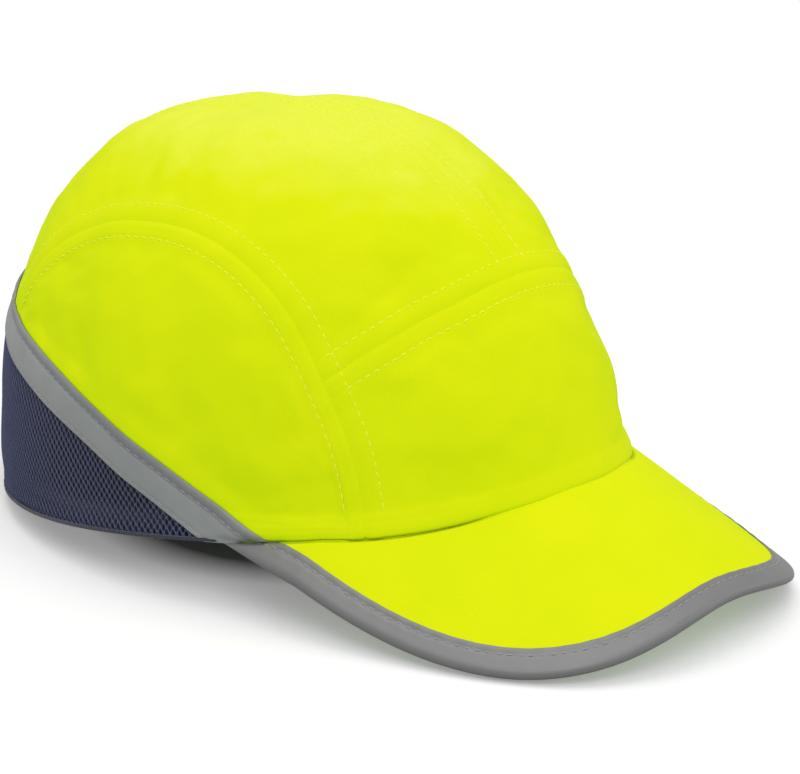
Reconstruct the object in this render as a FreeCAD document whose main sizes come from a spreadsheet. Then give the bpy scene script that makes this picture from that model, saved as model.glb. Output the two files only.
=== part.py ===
import FreeCAD, Part

import math
import os

import Sketcher
from FreeCAD import Placement, Rotation, Vector

# A bump cap: a cloth cap with a stiff curved peak, a moulded shell with foam pads inside it,
# and a hook-and-loop strap across an arched opening at the back.
# Cap frame: the rim lies in the plane z = 0 with its centre at the origin, the peak points
# to -Y, the wearer's left is +X and +Z points up through the crown.
# Every sub-part is then tipped by rest_tilt about X, which is how the cap sits on a table:
# on the back of its rim and on the two lowest points of its peak.

doc = FreeCAD.newDocument("bump_cap")
sizes = doc.addObject("Spreadsheet::Sheet", "sizes")

DRIVING_DIMENSIONS = [
    ("half_width", 87.0, "crown, centre to side at the rim"),
    ("front_length", 115.0, "crown, centre to forehead at the rim"),
    ("back_length", 98.0, "crown, centre to back at the rim"),
    ("crown_height", 120.0, "rim to top"),
    ("crown_lean", -11.0, "shift of the top towards the peak"),
    ("side_power", 2.25, "roundness of the crown towards the sides"),
    ("front_power", 1.9, "roundness of the crown towards the forehead"),
    ("back_power", 3.0, "roundness of the crown towards the back"),
    ("rest_tilt", 8.1, "degrees the front is raised when the cap lies down"),
    ("cloth_thickness", 1.0, "crown cloth"),
    ("seam_gap", 0.2, "gap between neighbouring panels"),
    ("side_seam", 61.5, "distance of the side seams from the middle"),
    ("front_seam_height", 69.0, "cross seam above the rim, in the middle"),
    ("front_seam_drop", 17.0, "how far the cross seam falls by front_seam_reach"),
    ("front_seam_reach", 55.0, "sideways distance of that fall"),
    ("tape_start", -34.0, "place along Y where tape_start_height is measured"),
    ("tape_start_height", 10.0, "middle of the side tape above the rim there"),
    ("tape_rise", 0.66, "slope of the side tape there"),
    ("tape_flattening", 0.0019, "loss of that slope per millimetre, halved"),
    ("tape_width", 12.4, "reflective tape"),
    ("tape_thickness", 0.4, "reflective tape"),
    ("seam_tape_width", 12.0, "tape that covers a seam on the inside"),
    ("seam_tape_thickness", 0.45, "tape that covers a seam on the inside"),
    ("arch_half_width", 42.0, "opening at the back, middle to side at the rim"),
    ("arch_height", 48.0, "opening at the back"),
    ("arch_power", 3.0, "squareness of the opening"),
    ("arch_binding_width", 7.0, "tape that binds the opening"),
    ("rim_binding_height", 4.5, "tape inside the rim"),
    ("rim_binding_thickness", 0.7, "tape inside the rim"),
    ("rim_end_clearance", 3.0, "rear opening to the ends of rim tape and sweatband"),
    ("sweatband_height", 34.0, "sweatband above the rim"),
    ("sweatband_thickness", 1.1, "sweatband"),
    ("sweatband_sewn_offset", 2.6, "crown surface to the sweatband at the rim"),
    ("sweatband_free_offset", 6.5, "crown surface to the sweatband higher up"),
    ("sweatband_turn", 7.0, "height in which the sweatband leaves the rim"),
    ("peak_reach", 165.5, "tip of the peak from the cap's centre"),
    ("peak_back", 36.8, "rear ends of the peak from the cap's centre"),
    ("peak_half_width", 81.4, "peak, middle to side"),
    ("peak_power", 2.87, "squareness of the peak's outline"),
    ("peak_join_height", 7.9, "top of the peak at the crown, in the middle"),
    ("peak_slope", 0.558, "fall of the peak per millimetre forwards"),
    ("peak_flat_run", 44.4, "distance behind the forehead where the fall starts to ease"),
    ("peak_eased_share", 0.75, "share of the fall left behind that place"),
    ("peak_curl", 0.01197, "curvature of the peak across its width"),
    ("peak_cloth", 0.6, "cover above and below the board"),
    ("peak_board_thickness", 1.6, "stiffener inside the peak"),
    ("peak_tape_width", 6.5, "reflective tape folded over the peak's edge, on each side"),
    ("shell_offset", 3.0, "crown surface to the shell's outside"),
    ("shell_thickness", 1.6, "moulded shell"),
    ("shell_rim", 10.0, "lower edge of the shell above the rim"),
    ("shell_notch_half_width", 60.0, "cut-out at the back of the shell"),
    ("shell_notch_height", 36.0, "top of that cut-out above the rim"),
    ("vent_radius", 4.5, "ventilation holes in the shell"),
    ("pad_low", 24.0, "elevation in degrees of the pads' lower edges"),
    ("pad_high", 56.0, "elevation in degrees of the pads' upper edges"),
    ("crown_pad_low", 60.0, "elevation in degrees of the crown pad's outer edge"),
    ("crown_pad_high", 83.5, "elevation in degrees of the crown pad's inner edge"),
    ("shell_top", 84.0, "elevation in degrees of the shell's central hole"),
    ("pad_gap", 0.2, "glue line between shell and pad"),
    ("pad_thickness", 5.0, "foam pads"),
    ("strap_centre", 18.0, "place along Y of the axis the strap curves about"),
    ("strap_radius", 76.0, "inner face of the strap"),
    ("strap_thickness", 1.2, "strap webbing"),
    ("strap_width", 20.0, "strap webbing"),
    ("strap_base_height", 5.5, "lower edge of the strap above the rim"),
    ("strap_left_end", 43.0, "degrees from +X of the sewn end"),
    ("strap_fold_angle", 110.9, "degrees from +X of the fold round the ring"),
    ("strap_tail_end", 74.9, "degrees from +X of the free end"),
    ("loop_patch_end", 63.5, "degrees from +X of the loop patch's far end"),
    ("patch_start", 104.6, "degrees from +X of the near end of both patches"),
    ("patch_thickness", 1.35, "hook patch and loop patch"),
    ("tab_fold_angle", 115.4, "degrees from +X of the tab's fold round the ring"),
    ("tab_outer_end", 118.6, "degrees from +X where the tab's outer layer ends"),
    ("tab_seam_start", 117.2, "degrees from +X where the tab's layers are sewn together"),
    ("tab_inner_end", 137.0, "degrees from +X of the tab's sewn end"),
    ("fold_radius", 1.4, "inside radius of a webbing fold"),
    ("patch_air", 0.1, "gap between hooks and loops"),
    ("ring_bar", 2.2, "thickness and width of the ring's bars"),
    ("ring_window_width", 4.0, "ring window, along the strap"),
    ("ring_window_height", 21.6, "ring window, across the strap"),
    ("ring_angle", 113.15, "degrees from +X of the ring's middle"),
    ("ring_rounding", 0.9, "edges of the ring"),
]

for row, (alias, value, note) in enumerate(DRIVING_DIMENSIONS, start=1):
    sizes.set("A%d" % row, note)
    sizes.set("B%d" % row, str(value))
    sizes.setAlias("B%d" % row, alias)
doc.recompute()


def size(alias):
    """Value of a driving dimension."""
    return float(sizes.get(alias))


HALF_WIDTH = size("half_width")
FRONT_LENGTH = size("front_length")
BACK_LENGTH = size("back_length")
CROWN_HEIGHT = size("crown_height")
CROWN_LEAN = size("crown_lean")
SIDE_POWER = size("side_power")
FRONT_POWER = size("front_power")
BACK_POWER = size("back_power")
CLOTH = size("cloth_thickness")
SIDE_SEAM = size("side_seam")
HALF_GAP = size("seam_gap") / 2
SEAM_TAPE_AIR = 0.15
SEAM_TAPE_OUTSIDE = CLOTH + SEAM_TAPE_AIR
SEAM_TAPE_INSIDE = SEAM_TAPE_OUTSIDE + size("seam_tape_thickness")
LAID_ON = 0.05
LAYER_AIR = 0.1
SHELL_INSIDE = size("shell_offset") + size("shell_thickness")
PAD_OUTSIDE = SHELL_INSIDE + size("pad_gap")
PAD_INSIDE = PAD_OUTSIDE + size("pad_thickness")
FAR = 400.0
LOWEST = 0.02
REST = Placement(Vector(), Rotation(Vector(1, 0, 0), -size("rest_tilt")))

finished = []


def finish(part, label, local=Placement()):
    """Names a sub-part and puts it where the resting cap holds it."""
    part.Label = label
    part.Placement = REST.multiply(local)
    finished.append(part)
    return part


def add_shape(label, shape):
    """A sub-part whose curved surfaces come from the crown or peak formula."""
    feature = doc.addObject("Part::Feature", label)
    feature.Shape = shape
    return finish(feature, label)


def add_pair(label, shape):
    """A sub-part on the wearer's left and its mirror image on the right."""
    add_shape(label + "_left", shape)
    add_shape(label + "_right", shape.mirror(Vector(), Vector(1, 0, 0)))


def solve(function, low, high):
    """Root of a function that changes sign between low and high."""
    low_is_negative = function(low) < 0
    for _ in range(50):
        middle = (low + high) / 2
        if (function(middle) < 0) == low_is_negative:
            low = middle
        else:
            high = middle
    return (low + high) / 2


# ---------------------------------------------------------------- crown surface


def crown_point(direction, offset=0.0):
    """Point of the crown, moved inwards by offset, in a direction of the unit crown."""
    across, along, up = direction
    flat = math.hypot(across, along)
    share = (along / flat) ** 2 if flat else 0.0
    end_power = FRONT_POWER if along < 0 else BACK_POWER
    power = SIDE_POWER * (1 - share) + end_power * share
    reach = (flat**power + abs(up) ** power) ** (-1 / power)
    length = (FRONT_LENGTH if along < 0 else BACK_LENGTH) - offset
    height = (CROWN_HEIGHT - offset) * reach * up
    lean = CROWN_LEAN * (height / CROWN_HEIGHT) ** 2
    return Vector((HALF_WIDTH - offset) * reach * across, length * reach * along + lean, height)


def compass(azimuth, elevation):
    """Direction of the unit crown: azimuth from +X towards +Y, elevation from the rim."""
    azimuth, elevation = math.radians(azimuth), math.radians(elevation)
    flat = math.cos(elevation)
    return (flat * math.cos(azimuth), flat * math.sin(azimuth), math.sin(elevation))


def slice_direction(distance, turn):
    """Direction of the crown point at x = distance, turned from +Y over the top by turn."""
    along, up = math.cos(math.radians(turn)), math.sin(math.radians(turn))
    across = solve(lambda a: crown_point((a, along, up)).x - distance, -50.0, 50.0)
    return (across, along, up)


def blend_directions(start, end, share):
    """Direction between two others, both first brought onto the unit crown."""
    points = []
    for direction in (start, end):
        place = crown_point(direction)
        lean = CROWN_LEAN * (place.z / CROWN_HEIGHT) ** 2
        length = FRONT_LENGTH if direction[1] < 0 else BACK_LENGTH
        points.append(Vector(place.x / HALF_WIDTH, (place.y - lean) / length, place.z / CROWN_HEIGHT))
    middle = points[0] * (1 - share) + points[1] * share
    return (middle.x, middle.y, middle.z)


def spread(start, end, count):
    """Evenly spaced values from start to end."""
    return [start + (end - start) * i / (count - 1) for i in range(count)]


def thin_solid(outer_rows, inner_rows):
    """Closed solid between two grids of points that have the same rows and columns."""
    faces = []
    borders = []
    for rows in (outer_rows, inner_rows):
        surface = Part.BSplineSurface()
        surface.interpolate(rows)
        faces.append(surface.toShape())
        u_low, u_high, v_low, v_high = surface.bounds()
        curves = (surface.uIso(u_low), surface.uIso(u_high), surface.vIso(v_low), surface.vIso(v_high))
        borders.append([curve.toShape() for curve in curves])
    for outer_edge, inner_edge in zip(*borders):
        faces.append(Part.makeRuledSurface(outer_edge, inner_edge))
    shell = Part.makeShell(faces)
    shell.sewShape()
    solid = Part.makeSolid(shell)
    if solid.Volume < 0:
        solid.reverse()
    return solid


def crown_sheet(direction_grid, outer, inner):
    """Sheet that follows the crown between two inward offsets over a grid of directions."""
    outer_rows = [[crown_point(d, outer) for d in row] for row in direction_grid]
    inner_rows = [[crown_point(d, inner) for d in row] for row in direction_grid]
    return thin_solid(outer_rows, inner_rows)


def above_rim(shape, height=0.0):
    """Part of a shape that lies above a height."""
    block = Part.makeBox(2 * FAR, 2 * FAR, FAR, Vector(-FAR, -FAR, height - FAR))
    return shape.cut(block)


# ---------------------------------------------------------------- seam lines


def front_seam_turn(distance, shift=0.0):
    """Turn at which the cross seam crosses the slice x = distance, moved up by shift."""
    ratio = distance / size("front_seam_reach")
    height = size("front_seam_height") - size("front_seam_drop") * ratio**2 + shift
    return solve(lambda turn: crown_point(slice_direction(distance, turn)).z - height, 180.0, 91.0)


TAPE_START = size("tape_start")
TAPE_START_HEIGHT = size("tape_start_height")
TAPE_RISE = size("tape_rise")
TAPE_FLATTENING = size("tape_flattening")


def tape_height(along):
    """Height of the middle of the side tape at y = along."""
    past = along - TAPE_START
    return TAPE_START_HEIGHT + TAPE_RISE * past - TAPE_FLATTENING * past**2


def tape_direction(azimuth, shift=0.0):
    """Direction of the side tape's middle at an azimuth, moved up by shift."""

    def error(elevation):
        place = crown_point(compass(azimuth, elevation))
        return place.z - tape_height(place.y) - shift

    return compass(azimuth, solve(error, -60.0, 80.0))


def tape_turn(distance, shift=0.0, low=1.0, high=90.0):
    """Turn between low and high at which the tape's middle crosses the slice x = distance."""

    def error(turn):
        place = crown_point(slice_direction(distance, turn))
        return place.z - tape_height(place.y) - shift

    return solve(error, low, high)


def arch_point(angle, grow=0.0):
    """Sideways place and height of the rear opening's edge, grown outwards."""
    power = size("arch_power")
    wide = size("arch_half_width") + grow
    tall = size("arch_height") + grow
    c, s = math.cos(math.radians(angle)), math.sin(math.radians(angle))
    reach = (abs(c / wide) ** power + abs(s / tall) ** power) ** (-1 / power)
    return reach * c, reach * s


def arch_cutter():
    """Prism that cuts the rear opening out of a crown sheet."""
    points = [Vector(x, 0, z) for x, z in (arch_point(angle) for angle in spread(0, 180, 25))]
    left_foot = Vector(points[0].x, 0, -FAR / 10)
    right_foot = Vector(points[-1].x, 0, -FAR / 10)
    top = Part.BSplineCurve()
    top.interpolate(points)
    edges = [top.toShape(), Part.makeLine(points[-1], right_foot)]
    edges += [Part.makeLine(right_foot, left_foot), Part.makeLine(left_foot, points[0])]
    return Part.Face(Part.Wire(edges)).extrude(Vector(0, FAR, 0))


# ---------------------------------------------------------------- cloth panels


def front_panel():
    """Forehead panel, from the rim up to the cross seam."""
    grid = []
    for distance in spread(-SIDE_SEAM + HALF_GAP, SIDE_SEAM - HALF_GAP, 17):
        top = front_seam_turn(distance, -HALF_GAP)
        grid.append([slice_direction(distance, turn) for turn in spread(180.0, top, 9)])
    return crown_sheet(grid, 0.0, CLOTH)


def top_panel():
    """Panel over the top of the head, from the cross seam back to the tape."""
    grid = []
    for distance in spread(HALF_GAP, SIDE_SEAM - HALF_GAP, 9):
        front = front_seam_turn(distance, HALF_GAP)
        back = tape_turn(distance, HALF_GAP)
        grid.append([slice_direction(distance, turn) for turn in spread(front, back, 17)])
    return crown_sheet(grid, 0.0, CLOTH)


def side_panel():
    """Panel between the side seam and the tape."""
    seam = SIDE_SEAM + HALF_GAP

    def beyond_seam(azimuth):
        return crown_point(tape_direction(azimuth, HALF_GAP)).x - seam

    trim = 1.5
    back = solve(beyond_seam, 20.0, 85.0) - trim
    front = solve(beyond_seam, -20.0, -70.0) + trim
    seam_back = tape_turn(seam, HALF_GAP) + trim
    seam_front = tape_turn(seam, HALF_GAP, 180.0, 220.0) - trim
    grid = []
    for azimuth, turn in zip(spread(front, back, 21), spread(seam_front, seam_back, 21)):
        low = tape_direction(azimuth, HALF_GAP)
        high = slice_direction(seam, turn)
        grid.append([blend_directions(low, high, share) for share in spread(0.0, 1.0, 9)])
    return above_rim(crown_sheet(grid, 0.0, CLOTH))


def mesh_panel():
    """Mesh panel below the tape, from its front corner to the middle of the back."""
    tip = solve(lambda a: crown_point(tape_direction(a, -HALF_GAP)).z - 1.5, -60.0, 0.0)
    grid = []
    for azimuth in spread(tip, 90.0 - math.degrees(HALF_GAP / BACK_LENGTH), 21):
        low = compass(azimuth, 0.0)
        high = tape_direction(azimuth, -HALF_GAP)
        grid.append([blend_directions(low, high, share) for share in spread(0.0, 1.0, 7)])
    return crown_sheet(grid, 0.0, CLOTH).cut(arch_cutter())


def side_tape():
    """Reflective tape sewn over the joint between side panel and mesh panel."""
    half_width = size("tape_width") / 2
    grid = []
    for azimuth in spread(-46.0, 90.0 - math.degrees(HALF_GAP / BACK_LENGTH), 21):
        step = 0.5
        ahead = crown_point(tape_direction(azimuth + step))
        behind = crown_point(tape_direction(azimuth - step))
        run = math.hypot(ahead.x - behind.x, ahead.y - behind.y)
        rise = half_width * math.hypot(1.0, (ahead.z - behind.z) / run)
        low = tape_direction(azimuth, -rise)
        high = tape_direction(azimuth, rise)
        grid.append([blend_directions(low, high, share) for share in spread(0.0, 1.0, 5)])
    sheet = crown_sheet(grid, -LAID_ON - size("tape_thickness"), -LAID_ON)
    return above_rim(sheet).cut(peak_cutter())


# ---------------------------------------------------------------- inside tapes


def centre_seam_tape():
    """Tape under the middle seam."""
    half = size("seam_tape_width") / 2
    front = front_seam_turn(0.0, half + 1.0)
    back = tape_turn(0.0, half)
    grid = []
    for distance in spread(-half, half, 5):
        grid.append([slice_direction(distance, turn) for turn in spread(front, back, 15)])
    return crown_sheet(grid, SEAM_TAPE_OUTSIDE, SEAM_TAPE_INSIDE)


def front_seam_tape():
    """Tape under the cross seam, between the two side seam tapes."""
    half = size("seam_tape_width") / 2
    reach = SIDE_SEAM - half - 1.0
    grid = []
    for distance in spread(-reach, reach, 15):
        low, high = front_seam_turn(distance, -half), front_seam_turn(distance, half)
        grid.append([slice_direction(distance, turn) for turn in spread(low, high, 5)])
    return crown_sheet(grid, SEAM_TAPE_OUTSIDE, SEAM_TAPE_INSIDE)


def side_seam_tape():
    """Tape under a side seam, from above the rim at the front to the tape at the back."""
    half = size("seam_tape_width") / 2
    grid = []
    for distance in spread(SIDE_SEAM - half, SIDE_SEAM + half, 5):
        back = tape_turn(distance, half)
        front = front_edge_turn(distance, size("rim_binding_height") + 1.0)
        grid.append([slice_direction(distance, turn) for turn in spread(front, back, 17)])
    return crown_sheet(grid, SEAM_TAPE_OUTSIDE, SEAM_TAPE_INSIDE)


def front_edge_turn(distance, height):
    """Turn at which the front of the slice x = distance reaches a height."""
    return solve(lambda turn: crown_point(slice_direction(distance, turn)).z - height, 180.0, 91.0)


def arch_binding():
    """Tape that binds the edge of the rear opening on the outside."""
    grid = []
    for angle in spread(0.0, 180.0, 25):
        row = []
        for grow in spread(0.3, size("arch_binding_width"), 3):
            across, height = arch_point(angle, grow)
            row.append(back_direction(across, max(height, LOWEST)))
        grid.append(row)
    return crown_sheet(grid, -LAID_ON - size("tape_thickness"), -LAID_ON)


def back_direction(across, height):
    """Direction of the point at the back of the crown with this x and height."""
    turn = solve(lambda t: crown_point(slice_direction(across, t)).z - height, 0.0, 89.0)
    return slice_direction(across, turn)


def rim_azimuths(count):
    """Azimuths round the rim from one side of the rear opening to the other."""
    wide = size("arch_half_width") + size("rim_end_clearance")
    start = solve(lambda a: crown_point(compass(a, 0.0)).x - wide, 89.0, 20.0)
    return spread(start - 360.0, 180.0 - start, count)


def rim_height_direction(azimuth, height):
    """Direction of the crown point at an azimuth and a height."""
    elevation = solve(lambda e: crown_point(compass(azimuth, e)).z - height, 0.0, 80.0)
    return compass(azimuth, elevation)


def rim_band(heights, outside, thickness):
    """Band round the inside of the rim; outside gives its outer offset at each height."""
    outer_rows, inner_rows = [], []
    for azimuth in rim_azimuths(49):
        outer_row, inner_row = [], []
        for height in heights:
            direction = rim_height_direction(azimuth, height)
            outer_row.append(crown_point(direction, outside(height)))
            inner_row.append(crown_point(direction, outside(height) + thickness))
        outer_rows.append(outer_row)
        inner_rows.append(inner_row)
    return thin_solid(outer_rows, inner_rows)


def rim_binding():
    """Binding that finishes the rim on the inside."""
    heights = spread(LOWEST, size("rim_binding_height"), 4)
    thickness = size("rim_binding_thickness")
    return rim_band(heights, lambda height: CLOTH + thickness, thickness)


def sweatband_offset(height):
    """Outer offset of the sweatband: sewn to the rim below, clear of the shell above."""
    share = min(height / size("sweatband_turn"), 1.0)
    sewn, free = size("sweatband_sewn_offset"), size("sweatband_free_offset")
    return sewn + (free - sewn) * share**2 * (3 - 2 * share)


def sweatband():
    """Sweatband, sewn at the rim and standing clear of the shell's lower edge."""
    heights = spread(LOWEST, size("sweatband_height"), 18)
    return rim_band(heights, sweatband_offset, size("sweatband_thickness"))


def brow_foam():
    """Foam strip between the sweatband and the shell at the forehead."""
    grid = []
    for azimuth in spread(-140.0, -40.0, 15):
        heights = spread(size("shell_rim"), size("sweatband_height") - 3.0, 4)
        grid.append([rim_height_direction(azimuth, height) for height in heights])
    return crown_sheet(grid, SHELL_INSIDE + 0.2, SHELL_INSIDE + 1.3)


# ---------------------------------------------------------------- peak


PEAK_BACK = size("peak_back")
PEAK_HALF_WIDTH = size("peak_half_width")
PEAK_LENGTH = size("peak_reach") - PEAK_BACK
PEAK_POWER = size("peak_power")
PEAK_JOIN_HEIGHT = size("peak_join_height")
PEAK_SLOPE = size("peak_slope")
PEAK_CURL = size("peak_curl")
PEAK_FLAT_RUN = size("peak_flat_run")
PEAK_EASED_SHARE = size("peak_eased_share")
PEAK_TOTAL = 2 * size("peak_cloth") + size("peak_board_thickness") + 2 * LAYER_AIR
PEAK_TAPE_AIR = 0.15


def peak_height(x, y):
    """Height of the peak's upper side."""
    run = -y - FRONT_LENGTH
    behind = -PEAK_FLAT_RUN - run
    if behind > 0:
        run = -PEAK_FLAT_RUN - PEAK_EASED_SHARE * behind
    return PEAK_JOIN_HEIGHT - PEAK_SLOPE * run - PEAK_CURL * x**2 / 2


def outside_crown(x, y, z, clearance):
    """Above zero when the point lies outside the crown by more than the clearance."""
    lean = CROWN_LEAN * (z / CROWN_HEIGHT) ** 2
    length = (FRONT_LENGTH if y - lean < 0 else BACK_LENGTH) + clearance
    direction = (x / (HALF_WIDTH + clearance), (y - lean) / length, z / CROWN_HEIGHT)
    surface = crown_point(direction, -clearance)
    return math.hypot(x, y - lean) - math.hypot(surface.x, surface.y - lean)


def peak_line(angle):
    """Plan points where a line from the peak's centre leaves the crown and the peak."""
    c, s = math.cos(math.radians(angle)), math.sin(math.radians(angle))
    reach_power = abs(c / PEAK_HALF_WIDTH) ** PEAK_POWER + abs(s / PEAK_LENGTH) ** PEAK_POWER
    reach = reach_power ** (-1 / PEAK_POWER)

    def error(distance):
        x, y = distance * c, -PEAK_BACK - distance * s
        return outside_crown(x, y, peak_height(x, y), 0.25)

    join = solve(error, 10.0, reach)
    return join, reach, c, s


def peak_sheet(top, bottom, inset, tuck=0.0):
    """Sheet that follows the peak between two depths; inset gives its start on each line."""
    outer_rows, inner_rows = [], []
    for angle in spread(3.0, 177.0, 35):
        join, reach, c, s = peak_line(angle)
        start = inset(join, reach)
        outer_row, inner_row = [], []
        for distance in spread(start, reach - tuck, 7):
            x, y = distance * c, -PEAK_BACK - distance * s
            outer_row.append(Vector(x, y, peak_height(x, y) - top))
            inner_row.append(Vector(x, y, peak_height(x, y) - bottom))
        outer_rows.append(outer_row)
        inner_rows.append(inner_row)
    return thin_solid(outer_rows, inner_rows)


def from_crown(join, reach):
    """A peak layer that starts at the crown."""
    return join


def along_edge(join, reach):
    """A peak layer that covers only a tape's width along the outer edge."""
    width, tape = reach - join, size("peak_tape_width")
    return reach - 0.985 * width * tape / (width**4 + tape**4) ** 0.25


def peak_upper_cover():
    """Cloth over the board."""
    return peak_sheet(0.0, size("peak_cloth"), from_crown)


def peak_board():
    """Stiff board that gives the peak its curve."""
    top = size("peak_cloth") + LAYER_AIR
    return peak_sheet(top, top + size("peak_board_thickness"), from_crown)


def peak_lower_cover():
    """Cloth under the board."""
    return peak_sheet(PEAK_TOTAL - size("peak_cloth"), PEAK_TOTAL, from_crown)


def peak_edge_tape():
    """Reflective tape folded over the outer edge of the peak."""
    tape = size("tape_thickness")
    air = PEAK_TAPE_AIR
    skin = air + tape
    outside = peak_sheet(-skin, PEAK_TOTAL + skin, along_edge, -skin)
    inside = peak_sheet(-air, PEAK_TOTAL + air, from_crown, -air)
    return outside.cut(inside)


def peak_cutter():
    """Space that the peak takes, used to trim the side tapes."""
    return peak_sheet(-1.0, PEAK_TOTAL + 1.0, from_crown, -1.0)


# ---------------------------------------------------------------- shell and pads


def crown_ring(outer, inner, low, high):
    """Dome between two elevations all the way round, as two halves joined in the plane x = 0."""
    halves = []
    for start in (-90.0, 90.0):
        grid = []
        for azimuth in spread(start, start + 180.0, 31):
            grid.append([compass(azimuth, elevation) for elevation in spread(low, high, 13)])
        halves.append(crown_sheet(grid, outer, inner))
    return halves[0].fuse(halves[1]).removeSplitter()


def wall_pad(azimuth, half_angle):
    """Foam pad inside the shell's wall, centred on an azimuth."""
    grid = []
    for turn in spread(azimuth - half_angle, azimuth + half_angle, 9):
        elevations = spread(size("pad_low"), size("pad_high"), 7)
        grid.append([compass(turn, elevation) for elevation in elevations])
    return crown_sheet(grid, PAD_OUTSIDE, PAD_INSIDE)


def shell_blank():
    """The shell before its ventilation holes are cut."""
    low = math.degrees(math.asin(size("shell_rim") / CROWN_HEIGHT))
    blank = doc.addObject("Part::Feature", "shell_dome")
    blank.Shape = crown_ring(size("shell_offset"), SHELL_INSIDE, low, size("shell_top"))
    return blank


def shell_notch():
    """Block that clears the strap and the rear opening at the back of the shell."""
    block = doc.addObject("Part::Box", "shell_notch")
    block.setExpression("Length", "2 * sizes.shell_notch_half_width * 1 mm")
    block.setExpression("Width", "2 * sizes.back_length * 1 mm")
    block.setExpression("Height", "sizes.shell_notch_height * 1 mm")
    block.setExpression("Placement.Base.x", "-sizes.shell_notch_half_width * 1 mm")
    return block


def vent(azimuth, elevation):
    """Round ventilation hole square to the shell."""
    name = "vent_%d_%d" % (azimuth % 360, elevation)
    hole = doc.addObject("Part::Cylinder", name)
    hole.setExpression("Radius", "sizes.vent_radius * 1 mm")
    hole.setExpression("Height", "8 * sizes.shell_thickness * 1 mm")
    start = crown_point(compass(azimuth, elevation), size("shell_offset"))
    step = 0.5
    east = crown_point(compass(azimuth + step, elevation)) - crown_point(compass(azimuth, elevation))
    north = crown_point(compass(azimuth, elevation + step)) - crown_point(compass(azimuth, elevation))
    outward = east.cross(north).normalize()
    back = 4 * size("shell_thickness")
    hole.Placement = Placement(start - outward * back, Rotation(Vector(0, 0, 1), outward))
    return hole


def add_shell():
    """Moulded shell with its rear cut-out and ventilation holes."""
    azimuths = (-41.5, 44.0, 136.0, 221.5)
    elevations = (24.0, 38.0, 51.0)
    tools = doc.addObject("Part::MultiFuse", "shell_cutters")
    tools.Shapes = [shell_notch()] + [vent(a, e) for a in azimuths for e in elevations]
    shell = doc.addObject("Part::Cut", "abs_shell")
    shell.Base = shell_blank()
    shell.Tool = tools
    return finish(shell, "abs_shell")


# ---------------------------------------------------------------- strap and ring


def origin_plane(body, role):
    """One of a body's own origin planes."""
    return [f for f in body.Origin.OriginFeatures if f.Role == role][0]


def bind(owner, path, expression):
    """Binds a size of an object to the driving dimensions."""
    owner.setExpression(path, expression)


def new_sketch(body, name):
    """Empty sketch on a body's own XY plane."""
    sketch = body.newObject("Sketcher::SketchObject", name)
    sketch.AttachmentSupport = (origin_plane(body, "XY_Plane"), [""])
    sketch.MapMode = "FlatFace"
    return sketch


def add_named(sketch, name, expression, *arguments):
    """Adds a dimension to a sketch and binds it."""
    index = sketch.addConstraint(Sketcher.Constraint(*arguments))
    sketch.renameConstraint(index, name)
    bind(sketch, "Constraints." + name, expression)


def arc_band(name, radius, thickness, start, end):
    """Webbing strip curved about the strap's axis: radius and angles as expressions."""
    body = doc.addObject("PartDesign::Body", name)
    sketch = new_sketch(body, name + "_outline")
    first, last = math.radians(size_of(start)), math.radians(size_of(end))
    near = size_of(radius)
    far = near + size_of(thickness)
    axis = Vector(0, 0, 1)
    arcs = []
    for reach in (near, far):
        circle = Part.Circle(Vector(), axis, reach)
        arcs.append(sketch.addGeometry(Part.ArcOfCircle(circle, first, last)))
    ends = []
    for angle in (first, last):
        spoke = Vector(math.cos(angle), math.sin(angle), 0)
        ends.append(sketch.addGeometry(Part.LineSegment(spoke * near, spoke * far)))
    for arc, line_point in zip(arcs, (1, 2)):
        sketch.addConstraint(Sketcher.Constraint("Coincident", arc, 3, -1, 1))
        for line, arc_end in zip(ends, (1, 2)):
            sketch.addConstraint(Sketcher.Constraint("Coincident", line, line_point, arc, arc_end))
    for line in ends:
        sketch.addConstraint(Sketcher.Constraint("PointOnObject", -1, 1, line))
    add_named(sketch, "near_radius", radius + " * 1 mm", "Radius", arcs[0], near)
    add_named(sketch, "far_radius", "(%s + %s) * 1 mm" % (radius, thickness), "Radius", arcs[1], far)
    add_named(sketch, "first_angle", start + " * 1 deg", "Angle", ends[0], first)
    add_named(sketch, "last_angle", end + " * 1 deg", "Angle", ends[1], last)
    pad = body.newObject("PartDesign::Pad", name + "_pad")
    pad.Profile = sketch
    bind(pad, "Length", "sizes.strap_width * 1 mm")
    return body


def size_of(expression):
    """Value of a sum of driving dimensions written as an expression."""
    return sum(size(term.strip().replace("sizes.", "")) for term in expression.strip("()").split("+"))


STRAP_PLACE = Placement(Vector(0, size("strap_centre"), size("strap_base_height")), Rotation())
RADIUS = "sizes.strap_radius"
WEBBING = "sizes.strap_thickness"
LOOP_RADIUS = "(sizes.strap_radius + sizes.strap_thickness)"
FOLD_SPACE = "(sizes.fold_radius + sizes.fold_radius)"
FOLD_MIDDLE = "(sizes.strap_radius + sizes.strap_thickness + sizes.fold_radius)"
HOOK_RADIUS = "(sizes.strap_radius + sizes.strap_thickness + sizes.patch_thickness + sizes.patch_air)"
OUTER_LAYER = "(sizes.strap_radius + sizes.strap_thickness + sizes.fold_radius + sizes.fold_radius)"


def fold(name, angle):
    """Half-round bend of webbing, and its place at an angle on the strap's arc."""
    solids = []
    outside = "sizes.fold_radius + sizes.strap_thickness"
    for part, radius in (("outside", outside), ("inside", "sizes.fold_radius")):
        half = doc.addObject("Part::Cylinder", name + "_" + part)
        bind(half, "Radius", "(%s) * 1 mm" % radius)
        bind(half, "Height", "sizes.strap_width * 1 mm")
        half.Angle = 180.0
        solids.append(half)
    bend = doc.addObject("Part::Cut", name)
    bend.Base, bend.Tool = solids
    reach = size_of(FOLD_MIDDLE)
    turn = math.radians(size(angle))
    return bend, Vector(reach * math.cos(turn), reach * math.sin(turn), 0)


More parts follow.
